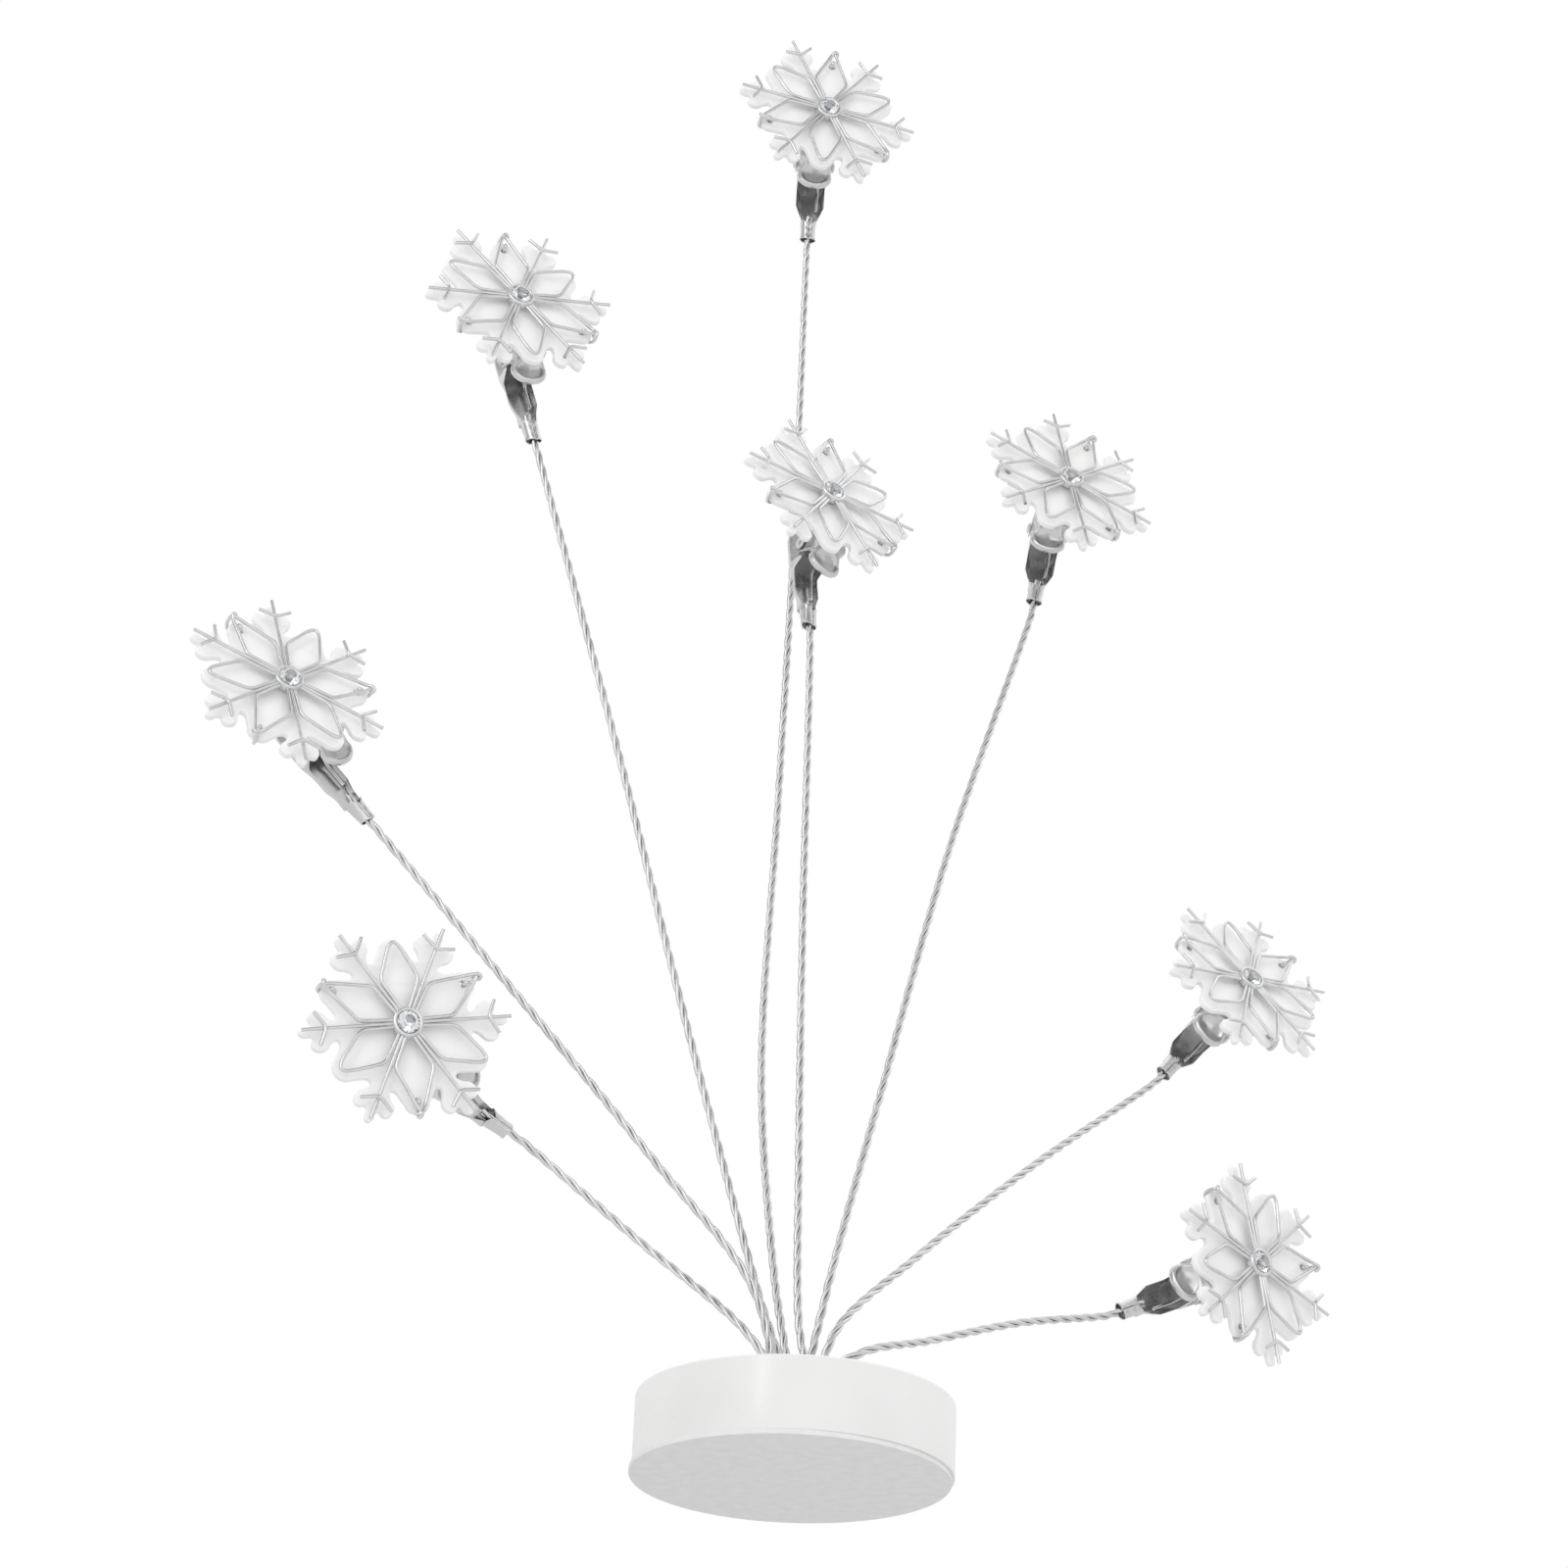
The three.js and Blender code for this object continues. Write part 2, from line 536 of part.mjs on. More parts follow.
function clipGroup(unit, number) {
  const clip = new THREE.Group();
  clip.position.set(...unit.clip);
  clip.rotation.copy(clipTurn(unit));
  const pin = piece(`pivot_pin_${number}`, clipShapes.pin, 'nickel');
  pin.position.set(PIVOT_X, 0, PIVOT_Z);
  const lean = rad(unit.lean);
  const leaning = new THREE.Group();
  leaning.rotation.x = lean;
  const flake = new THREE.Group();
  flake.position.set(FLAKE_X, unit.shift, FLAKE_SEAT * Math.cos(lean) + earHalf * Math.sin(Math.abs(lean)));
  flake.rotation.y = rad(FLAKE_SLOPE_DEG);
  leaning.add(flake);
  const backing = piece(`snowflake_backing_${number}`, clipShapes.backing, 'matteWhite');
  backing.position.z = FIT_GAP;
  backing.rotation.z = rad(unit.spin);
  const wires = piece(`wire_snowflake_${number}`, clipShapes.wires, 'brightWire');
  wires.position.z = FIT_GAP + BACKING_THICKNESS;
  wires.rotation.z = rad(unit.spin);
  flake.add(backing, wires);
  clip.add(
    piece(`lower_jaw_${number}`, clipShapes.lowerJaw, 'nickel'),
    piece(`upper_jaw_${number}`, clipShapes.upperJaw, 'nickel'),
    piece(`spring_${number}`, clipShapes.spring, 'springSteel'),
    pin,
    leaning,
  );
  return clip;
}

const holder = new THREE.Group();
const base = piece('base', baseGeometry(), 'satinWhite');
base.position.z = baseBottom;
const pad = piece('base_pad', padGeometry(), 'padGrey');
pad.position.set(PAD_SHIFT, 0, PAD_THICKNESS / 2);
holder.add(base, pad);
UNITS.forEach((unit, i) => {
  holder.add(piece(`stem_${i + 1}`, stemGeometry(unit), 'brightWire'), clipGroup(unit, i + 1));
});
console.log(`least gap between the turns of a spring: ${springSelfGap().toFixed(2)} mm`);

export default holder;
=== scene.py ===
"""Looks of a memo clip holder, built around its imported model.

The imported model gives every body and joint. The sizes below are in millimetres, as the part's own source
gives them, and one matrix turns them into metres when a mesh takes its place in the frame. The origin is
the middle of the foot on the table, +Z is up and the snowflakes face -Y.
"""

import functools
import logging
import math
import random
from collections.abc import Sequence
from dataclasses import dataclass
from enum import Enum

import bmesh
import bpy
from mathutils import Euler, Matrix, Vector
from mathutils.geometry import interpolate_bezier


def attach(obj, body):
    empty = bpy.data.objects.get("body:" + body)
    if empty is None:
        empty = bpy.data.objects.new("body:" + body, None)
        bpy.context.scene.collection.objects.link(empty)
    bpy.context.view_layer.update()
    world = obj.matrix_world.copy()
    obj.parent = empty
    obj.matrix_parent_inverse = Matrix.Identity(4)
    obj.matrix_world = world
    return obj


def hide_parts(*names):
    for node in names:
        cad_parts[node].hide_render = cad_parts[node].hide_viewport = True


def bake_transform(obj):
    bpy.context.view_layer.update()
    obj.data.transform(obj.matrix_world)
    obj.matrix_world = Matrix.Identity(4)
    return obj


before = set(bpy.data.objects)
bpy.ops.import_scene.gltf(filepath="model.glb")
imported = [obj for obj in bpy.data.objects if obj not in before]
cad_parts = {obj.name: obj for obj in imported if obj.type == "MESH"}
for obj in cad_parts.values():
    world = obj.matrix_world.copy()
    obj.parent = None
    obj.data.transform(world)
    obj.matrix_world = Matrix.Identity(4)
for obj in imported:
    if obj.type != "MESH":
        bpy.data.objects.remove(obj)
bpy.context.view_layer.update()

TO_METRES = Matrix.Scale(0.001, 4)
MERGE_DISTANCE = 1e-4
STAND = "stand"
Pair = tuple[float, float]
Triple = tuple[float, float, float]
Constants = tuple[tuple[str, float | tuple], ...]
log = logging.getLogger("memo_clip_holder")

# The angle from which an edge looks sharp, on most pieces and on wires
CREASE_DEG = 35.0
WIRE_CREASE_DEG = 50.0

# The angle that tells a sheet's cut edges, and their rounding as a share of the sheet's thickness
CUT_EDGE_DEG = 65.0
CUT_EDGE_SHARE = 0.3

# The most of a leg that a bend takes, and how far its handles reach towards the corner
BEND_LEG_SHARE = 0.48
BEND_PULL = 0.6


class Slot(Enum):
    """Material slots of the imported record."""

    FOOT_PAINT = "foot_paint"
    PAD = "pad"
    STEM_WIRE = "stem_wire"
    CLIP_PLATE = "clip_plate"
    SPRING_STEEL = "spring_steel"
    BACKING_SHEET = "backing_sheet"
    FLAKE_WIRE = "flake_wire"


# Finishes


def add_node(tree: bpy.types.NodeTree, kind: str, inputs: dict) -> bpy.types.Node:
    """Add a node to a tree.

    Args:
        tree: The tree.
        kind: The node's type.
        inputs: What its inputs take, by name or number: a constant, or the output of another node.

    Returns:
        The node.
    """
    node = tree.nodes.new(kind)
    for key, value in inputs.items():
        if isinstance(value, bpy.types.NodeSocket):
            tree.links.new(value, node.inputs[key])
        else:
            node.inputs[key].default_value = value
    return node


class Board:
    """The node tree of one material, which ends in a Principled shader."""

    # The middle of a noise's range, over which tones and roughnesses are spread
    noise_window = (0.3, 0.7)

    def __init__(self, name: str) -> None:
        """Start a material with its shader.

        Args:
            name: The material's name.
        """
        self.material = bpy.data.materials.new(name)
        self.material.use_nodes = True
        self.tree = self.material.node_tree
        self.shader = self.tree.nodes["Principled BSDF"]

    def set(self, constants: Constants) -> None:
        """Set constants on the shader's own sockets."""
        for key, value in constants:
            self.shader.inputs[key].default_value = value

    def feed(self, key: str, value: bpy.types.NodeSocket) -> None:
        """Link a node's output to one of the shader's sockets."""
        self.tree.links.new(value, self.shader.inputs[key])

    def noise(
        self, per_metre: float, detail: float = 2.0, stretch: Triple = (1, 1, 1)
    ) -> bpy.types.NodeSocket:
        """Noise on the object's own coordinates.

        Args:
            per_metre: How many grains a metre holds.
            detail: Octaves of finer noise.
            stretch: Scale along each axis, below 1 to draw the grains out.

        Returns:
            The noise as a value around 0.5.
        """
        where = add_node(self.tree, "ShaderNodeTexCoord", {})
        drawn = {"Vector": where.outputs["Object"], "Scale": stretch}
        spot = add_node(self.tree, "ShaderNodeMapping", drawn)
        grains = {"Vector": spot.outputs["Vector"], "Scale": per_metre, "Detail": detail}
        return add_node(self.tree, "ShaderNodeTexNoise", grains).outputs["Fac"]

    def pores(self, per_metre: float) -> bpy.types.NodeSocket:
        """Distances to the middles of round cells, for a foamed surface.

        Args:
            per_metre: How many cells a metre holds.

        Returns:
            The distances.
        """
        where = add_node(self.tree, "ShaderNodeTexCoord", {})
        cells = {"Vector": where.outputs["Object"], "Scale": per_metre}
        return add_node(self.tree, "ShaderNodeTexVoronoi", cells).outputs["Distance"]

    def colour(self, value: bpy.types.NodeSocket, low: Triple, high: Triple) -> None:
        """Colour the surface between two tones by the middle of a noise.

        Args:
            value: The noise.
            low: The tone where it is low.
            high: The tone where it is high.
        """
        ramp = add_node(self.tree, "ShaderNodeValToRGB", {"Fac": value})
        for stop, place, tone in zip(ramp.color_ramp.elements, self.noise_window, (low, high)):
            stop.position = place
            stop.color = (*tone, 1)
        self.feed("Base Color", ramp.outputs["Color"])

    def roughness(self, value: bpy.types.NodeSocket, low: float, high: float) -> None:
        """Vary the gloss between two roughnesses by the middle of a noise.

        Args:
            value: The noise.
            low: The roughness where it is low.
            high: The roughness where it is high.
        """
        least, most = self.noise_window
        spread = {"Value": value, "From Min": least, "From Max": most, "To Min": low, "To Max": high}
        self.feed("Roughness", add_node(self.tree, "ShaderNodeMapRange", spread).outputs["Result"])

    def bump(self, height: bpy.types.NodeSocket, strength: float, depth: float) -> None:
        """Raise the surface by a noise, depth metres at most."""
        relief = {"Height": height, "Strength": strength, "Distance": depth}
        self.feed("Normal", add_node(self.tree, "ShaderNodeBump", relief).outputs["Normal"])


@dataclass(frozen=True)
class Finish:
    """A surface whose tone and gloss vary with clouds of noise, over a fine relief.

    The clouds and the relief are in grains per metre, and the relief's depth is in metres.
    """

    name: str
    low: Triple
    high: Triple
    rough: Pair
    clouds: float
    relief: float
    relief_strength: float
    relief_depth: float
    constants: Constants
    cloud_detail: float = 2.0
    foamed: bool = False

    @functools.cache
    def material(self) -> bpy.types.Material:
        """Make the material, once.

        Returns:
            The material.
        """
        board = Board(self.name)
        board.set(self.constants)
        clouds = board.noise(self.clouds, self.cloud_detail)
        board.colour(clouds, self.low, self.high)
        board.roughness(clouds, *self.rough)
        height = board.pores(self.relief) if self.foamed else board.noise(self.relief)
        board.bump(height, self.relief_strength, self.relief_depth)
        return board.material


@dataclass(frozen=True)
class SatinPaint(Finish):
    """White paint on the foot, with a faint orange peel."""

    name: str = "satin_white_paint"
    low: Triple = (0.785, 0.785, 0.78)
    high: Triple = (0.825, 0.825, 0.82)
    rough: Pair = (0.26, 0.34)
    clouds: float = 55
    relief: float = 1100
    relief_strength: float = 0.25
    relief_depth: float = 4e-5
    constants: Constants = (("Coat Weight", 0.35), ("Coat Roughness", 0.2))


@dataclass(frozen=True)
class FoamPad(Finish):
    """Pale foam sheet under the foot."""

    name: str = "pale_foam"
    low: Triple = (0.77, 0.77, 0.77)
    high: Triple = (0.82, 0.82, 0.82)
    rough: Pair = (0.8, 0.95)
    clouds: float = 420
    relief: float = 1600
    relief_strength: float = 0.3
    relief_depth: float = 6e-5
    constants: Constants = (("Specular IOR Level", 0.25),)
    cloud_detail: float = 4.0
    foamed: bool = True


@dataclass(frozen=True)
class FrostedSheet(Finish):
    """White plastic sheet of the snowflake's backing, lightly frosted."""

    name: str = "frosted_white_sheet"
    low: Triple = (0.92, 0.92, 0.915)
    high: Triple = (0.96, 0.96, 0.955)
    rough: Pair = (0.5, 0.65)
    clouds: float = 140
    relief: float = 2600
    relief_strength: float = 0.2
    relief_depth: float = 2e-5
    constants: Constants = (
        ("Subsurface Weight", 0.15),
        ("Subsurface Radius", (0.002, 0.002, 0.002)),
        ("Specular IOR Level", 0.35),
    )
    cloud_detail: float = 3.0


@dataclass(frozen=True)
class Glue(Finish):
    """Milky glue that holds a snowflake on its clip."""

    name: str = "milky_glue"
    low: Triple = (0.74, 0.74, 0.72)
    high: Triple = (0.82, 0.82, 0.80)
    rough: Pair = (0.2, 0.35)
    clouds: float = 300
    relief: float = 300
    relief_strength: float = 0.3
    relief_depth: float = 1e-4
    constants: Constants = (("Transmission Weight", 0.25), ("IOR", 1.48))


@dataclass(frozen=True)
class Metal:
    """Bright plated metal with haze from handling and fine drawing lines."""

    name: str
    dark: float
    light: float
    rough: Pair
    haze: float
    lines: float
    line_depth: float
    cool: float = 1.01
    haze_detail: float = 3.0
    line_detail: float = 2.0
    line_stretch: Triple = (1, 1, 0.12)
    line_strength: float = 0.35

    @functools.cache
    def material(self) -> bpy.types.Material:
        """Make the material, once.

        Returns:
            The material.
        """
        board = Board(self.name)
        board.set((("Metallic", 1.0),))
        haze = board.noise(self.haze, self.haze_detail)
        board.colour(haze, (self.dark,) * 3, (self.light, self.light, self.light * self.cool))
        board.roughness(haze, *self.rough)
        lines = board.noise(self.lines, self.line_detail, self.line_stretch)
        board.bump(lines, self.line_strength, self.line_depth)
        return board.material


@dataclass(frozen=True)
class CutStone:
    """Clear faceted stone with a faint haze."""

    name: str = "clear_cut_stone"
    tint: tuple[float, float, float, float] = (0.84, 0.85, 0.87, 1.0)
    ior: float = 1.62
    rough: Pair = (0.0, 0.03)
    haze: float = 2000

    @functools.cache
    def material(self) -> bpy.types.Material:
        """Make the material, once.

        Returns:
            The material.
        """
        board = Board(self.name)
        board.set((("Transmission Weight", 1.0), ("IOR", self.ior), ("Base Color", self.tint)))
        board.roughness(board.noise(self.haze), *self.rough)
        return board.material


STEM_WIRE = Metal("bright_stem_wire", 0.62, 0.74, (0.18, 0.28), 160, 2600, 1.5e-5)
CLIP_PLATE = Metal("nickel_plate", 0.60, 0.70, (0.24, 0.32), 220, 3000, 2e-6)
SPRING_WIRE = Metal("spring_wire", 0.76, 0.86, (0.15, 0.25), 260, 3000, 8e-6)
FLAKE_WIRE = Metal("silver_flake_wire", 0.63, 0.75, (0.12, 0.20), 260, 2600, 5e-6)
CUP_SILVER = Metal("silver_cup", 0.64, 0.78, (0.16, 0.30), 500, 1800, 2e-5)


# Making meshes


def install(
    name: str, mesh: bpy.types.Mesh, finish: Finish | Metal | CutStone,
    slot: Slot | None, body: str | None, *nodes: str,
) -> bpy.types.Object:
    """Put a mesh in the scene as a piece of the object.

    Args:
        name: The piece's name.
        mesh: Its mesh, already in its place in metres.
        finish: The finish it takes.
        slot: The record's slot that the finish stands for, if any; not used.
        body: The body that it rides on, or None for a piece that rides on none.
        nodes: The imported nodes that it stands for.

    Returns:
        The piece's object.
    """
    mesh.materials.clear()
    mesh.materials.append(finish.material())
    piece = bpy.data.objects.new(name, mesh)
    bpy.context.scene.collection.objects.link(piece)
    if body:
        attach(piece, body)
    if nodes:
        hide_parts(*nodes)
    log.info("%s: %d faces", name, len(mesh.polygons))
    return piece


def placed(
    name: str, bm: bmesh.types.BMesh, place: Matrix, crease_deg: float = CREASE_DEG
) -> bpy.types.Mesh:
    """Turn a bmesh in millimetres into a mesh in metres, smooth but for its creases.

    Args:
        name: The mesh's name.
        bm: The shape, which is freed.
        place: Where it goes, in millimetres.
        crease_deg: The angle from which an edge stays sharp.

    Returns:
        The mesh.
    """
    bm.transform(TO_METRES @ place)
    mesh = bpy.data.meshes.new(name)
    bm.to_mesh(mesh)
    bm.free()
    mesh.shade_smooth()
    mesh.set_sharp_from_angle(angle=math.radians(crease_deg))
    return mesh


def curve_solid(curve: bpy.types.Curve) -> bmesh.types.BMesh:
    """Turn a curve with a bevel into a closed bmesh, and remove the curve.

    Args:
        curve: The curve, which is removed.

    Returns:
        The bmesh.
    """
    holder = bpy.data.objects.new(curve.name, curve)
    bpy.context.scene.collection.objects.link(holder)
    depsgraph = bpy.context.evaluated_depsgraph_get()
    mesh = bpy.data.meshes.new_from_object(holder.evaluated_get(depsgraph))
    bm = bmesh.new()
    bm.from_mesh(mesh)
    bpy.data.objects.remove(holder)
    bpy.data.curves.remove(curve)
    bpy.data.meshes.remove(mesh)
    bmesh.ops.remove_doubles(bm, verts=bm.verts[:], dist=MERGE_DISTANCE)
    bmesh.ops.recalc_face_normals(bm, faces=bm.faces[:])
    return bm


def wire(paths: Sequence[Sequence[Vector]], radius: float, roundness: int = 2) -> bmesh.types.BMesh:
    """Round wires of one radius along several paths.

    Args:
        paths: The points of each wire's middle line.
        radius: The wires' radius.
        roundness: Steps in the wires' roundness.

    Returns:
        The wires, with closed ends.
    """
    curve = bpy.data.curves.new("wire", "CURVE")
    curve.dimensions = "3D"
    curve.bevel_depth = radius
    curve.bevel_resolution = roundness
    curve.use_fill_caps = True
    for path in paths:
        spline = curve.splines.new("POLY")
        spline.points.add(len(path) - 1)
        for point, spot in zip(spline.points, path):
            point.co = (*spot, 1)
    return curve_solid(curve)


def turned(profile: Sequence[Pair], steps: int) -> bmesh.types.BMesh:
    """Spin a profile of (radius, height) about Z into a closed shape.

    Args:
        profile: The profile, from one end of the axis to the other.
        steps: Steps in a full turn.

    Returns:
        The shape.
    """
    bm = bmesh.new()
    verts = [bm.verts.new((radius, 0, height)) for radius, height in profile]
    edges = [bm.edges.new(pair) for pair in zip(verts, verts[1:])]
    bmesh.ops.spin(
        bm, geom=verts + edges, cent=(0, 0, 0), axis=(0, 0, 1), angle=math.tau, steps=steps, use_merge=True
    )
    bmesh.ops.remove_doubles(bm, verts=bm.verts[:], dist=MERGE_DISTANCE)
    bmesh.ops.recalc_face_normals(bm, faces=bm.faces[:])
    return bm


def folded_sheet(rows: Sequence[Sequence[Vector]], thickness: float) -> bmesh.types.BMesh:
    """A sheet of metal through rows of points on its outer face, with its cut edges rounded.

    Args:
        rows: Points across the sheet, one row for each place along it.
        thickness: The sheet's thickness, inwards from the rows.

    Returns:
        The closed sheet.
    """
    bm = bmesh.new()
    bmesh.ops.create_grid(bm, x_segments=len(rows[0]) - 1, y_segments=len(rows) - 1, size=1.0)
    bm.verts.ensure_lookup_table()
    for vert, spot in zip(bm.verts, (spot for row in rows for spot in row)):
        vert.co = spot
    bmesh.ops.solidify(bm, geom=bm.faces[:], thickness=thickness)
    bmesh.ops.recalc_face_normals(bm, faces=bm.faces[:])
    sharp = math.radians(CUT_EDGE_DEG)
    bmesh.ops.bevel(
        bm, geom=[edge for edge in bm.edges if edge.calc_face_angle(0.0) > sharp],
        offset=thickness * CUT_EDGE_SHARE, offset_type="OFFSET", affect="EDGES", segments=2, profile=0.5,
        material=-1, clamp_overlap=True,
    )
    return bm


def merge(bm: bmesh.types.BMesh, other: bmesh.types.BMesh, place: Matrix = Matrix()) -> None:
    """Add another bmesh to a bmesh, moved by place, and free it.

    Args:
        bm: The bmesh that grows.
        other: The bmesh to add, which is freed.
        place: Where it goes.
    """
    other.transform(place)
    mesh = bpy.data.meshes.new("merge")
    other.to_mesh(mesh)
    other.free()
    bm.from_mesh(mesh)
    bpy.data.meshes.remove(mesh)


def cut(mesh: bpy.types.Mesh, cutter: bpy.types.Mesh) -> bpy.types.Mesh:
    """Take one closed mesh away from another.

    Args:
        mesh: The mesh to cut, which is removed.
        cutter: The mesh to take away, which is removed.

    Returns:
        What is left.
    """
    kept = bpy.data.objects.new(mesh.name, mesh)
    taken = bpy.data.objects.new(cutter.name, cutter)
    for thing in (kept, taken):
        bpy.context.scene.collection.objects.link(thing)
    boolean = kept.modifiers.new("cut", "BOOLEAN")
    boolean.object = taken
    boolean.solver = "EXACT"
    depsgraph = bpy.context.evaluated_depsgraph_get()
    result = bpy.data.meshes.new_from_object(kept.evaluated_get(depsgraph))
    for thing in (kept, taken):
        bpy.data.objects.remove(thing)
    for old in (mesh, cutter):
        bpy.data.meshes.remove(old)
    return result


# Lines


def mix(low: float, high: float, share: float) -> float:
    """The value at a share of the way from low to high."""
    return low + (high - low) * share


def ease(low: float, high: float, start: float, end: float, at: float) -> float:
    """A smooth step from low before start to high after end."""
    share = min(1.0, max(0.0, (at - start) / (end - start)))
    return mix(low, high, share * share * (3 - 2 * share))


def polyline(knots: Sequence[Pair], at: float) -> float:
    """The height at a place on a line through (place, height) knots.

    Args:
        knots: The line's knots, in order.
        at: The place.

    Returns:
        The height.
    """
    for (x0, z0), (x1, z1) in zip(knots, knots[1:]):
        if at <= x1:
            return mix(z0, z1, max(0.0, (at - x0) / (x1 - x0)))
    return knots[-1][1]


def filleted(points: Sequence[Vector], radius: float, steps: int = 6) -> list[Vector]:
    """Round the corners of a line.

    Args:
        points: The line's corners.
        radius: How far from a corner its bend starts, or less on a short leg.
        steps: Points in each bend.

    Returns:
        The points of the rounded line.
    """
    line = [points[0]]
    for before, corner, after in zip(points, points[1:], points[2:]):
        back, ahead = before - corner, after - corner
        start = corner + back.normalized() * min(radius, back.length * BEND_LEG_SHARE)
        end = corner + ahead.normalized() * min(radius, ahead.length * BEND_LEG_SHARE)
        handles = start.lerp(corner, BEND_PULL), end.lerp(corner, BEND_PULL)
        line += interpolate_bezier(start, *handles, end, steps)
    line.append(points[-1])
    return line


def smooth_route(knots: Sequence[Vector], steps: int) -> list[Vector]:
    """Points on the centripetal Catmull-Rom curve through knots.

    Args:
        knots: Where the curve passes.
        steps: Points on each stretch.

    Returns:
        The curve's points.
    """
    line = [knots[0] * 2 - knots[1], *knots, knots[-1] * 2 - knots[-2]]
    points = []
    for before, start, end, after in zip(line, line[1:], line[2:], line[3:]):
        d0 = math.sqrt((start - before).length)
        d1 = math.sqrt((end - start).length)
        d2 = math.sqrt((after - end).length)
        leave = ((start - before) / d0 - (end - before) / (d0 + d1) + (end - start) / d1) * d1
        arrive = ((end - start) / d1 - (after - start) / (d1 + d2) + (after - end) / d2) * d1
        points += interpolate_bezier(start, start + leave / 3, end - arrive / 3, end, steps)[:-1]
    return [*points, knots[-1].copy()]


def even_points(line: Sequence[Vector], spacing: float) -> list[Vector]:
    """Points an even distance apart along a line, with both of its ends.

    Args:
        line: The line's points.
        spacing: About how far apart the new points are.

    Returns:
        The new points.
    """
    lengths = [0.0]
    for a, b in zip(line, line[1:]):
        lengths.append(lengths[-1] + (b - a).length)
    count = max(2, round(lengths[-1] / spacing))
    points = []
    leg = 0
    for i in range(count + 1):
        at = lengths[-1] * i / count
        while leg < len(line) - 2 and lengths[leg + 1] < at:
            leg += 1
        share = (at - lengths[leg]) / (lengths[leg + 1] - lengths[leg])
        points.append(line[leg].lerp(line[leg + 1], share))
    return points


def twisted(
    line: Sequence[Vector], count: int, offset: float, lay: float, first: Triple
) -> list[list[Vector]]:
    """The middle lines of strands wound round a line, right-handed.

    Args:
        line: Evenly spaced points of the line.
        count: How many strands there are.
        offset: How far each strand's middle lies from the line.
        lay: The length of one full turn.
        first: The side of the line on which the first strand starts.

    Returns:
        Each strand's points.
    """
    side = Vector(first)
    strands = [[] for _ in range(count)]
    travelled = 0.0
    for i, spot in enumerate(line):
        ahead = line[min(i + 1, len(line) - 1)]
        behind = line[max(i - 1, 0)]
        along = (ahead - behind).normalized()
        side = (side - along * side.dot(along)).normalized()
        across = along.cross(side)
        if i:
            travelled += (spot - behind).length
        for k, strand in enumerate(strands):
            turn = math.tau * (travelled / lay + k / count)
            strand.append(spot + (side * math.cos(turn) + across * math.sin(turn)) * offset)
    return strands


# The stand


@dataclass(frozen=True)
class Unit:
    """One stem with its clip and snowflake, in millimetres and degrees.

    The stem leaves the foot at the angle of its hole, passes the bends and ends in the clip's barrel.
    Heading, pitch and roll turn the clip. Spin, lean and shift say how the snowflake sits on it.
    """

    number: int
    hole: float
    bends: tuple[Triple, ...]
    clip: Triple
    heading: float
    pitch: float
    roll: float
    spin: float
    lean: float
    shift: float = 0.0

    @property
    def jaw(self) -> str:
        """The body of the clip's upper jaw."""
        return f"jaw_{self.number}"

    def clip_place(self) -> Matrix:
        """Where the clip lies: X along it from its barrel, Y along its pin and Z towards the snowflake."""
        turn = Euler((math.radians(self.roll), -math.radians(self.pitch), math.radians(self.heading)))
        return Matrix.Translation(self.clip) @ turn.to_matrix().to_4x4()


# Clockwise from the lower left of the photograph, with the fifth below the tallest
UNITS = (
    Unit(
        1, hole=202.5, bends=((-10, -1, 28), (-32, 6, 48)),
        clip=(-57.3, 6, 68.3), heading=208, pitch=25, roll=-83, spin=40, lean=-10,
    ),
    Unit(
        2, hole=157.5, bends=((-9, 0, 37), (-29, 1, 62), (-58, 2, 96)),
        clip=(-89.4, 2, 131.6), heading=192.5, pitch=45.5, roll=-67, spin=25.5, lean=-2, shift=2,
    ),
    Unit(
        3, hole=112.5, bends=((-8, 5, 38), (-23, 11, 90), (-42, 15, 158)),
        clip=(-63.4, 16, 229.3), heading=170, pitch=72.5, roll=-56, spin=27, lean=0,
    ),
    Unit(
        4, hole=247.5, bends=((-5, 3, 41), (-9, 18, 87), (-8, 36, 157), (-7, 51, 232)),
        clip=(-6.8, 62, 314), heading=75, pitch=86, roll=22, spin=26, lean=8,
    ),
    Unit(
        5, hole=292.5, bends=((0, -2, 30), (-1, 6, 63), (-2, 20, 123)),
        clip=(-2.9, 34, 196.8), heading=107, pitch=75, roll=23, spin=26, lean=-8,
    ),
    Unit(
        6, hole=67.5, bends=((5, 7, 38), (15, 25, 87), (29, 48, 153)),
        clip=(48, 74, 226.8), heading=64, pitch=72, roll=34, spin=17, lean=10,
    ),
    Unit(
        7, hole=22.5, bends=((7, 4, 30), (23, 22, 52), (48, 51, 83)),
        clip=(77.8, 83, 116.8), heading=45, pitch=46, roll=73, spin=19, lean=-8,
    ),
    Unit(
        8, hole=337.5, bends=((12, 0, 25), (25, 13, 32), (44, 31, 42.3)),
        clip=(65.2, 50, 51.7), heading=35, pitch=26.5, roll=78, spin=16, lean=12,
    ),
)


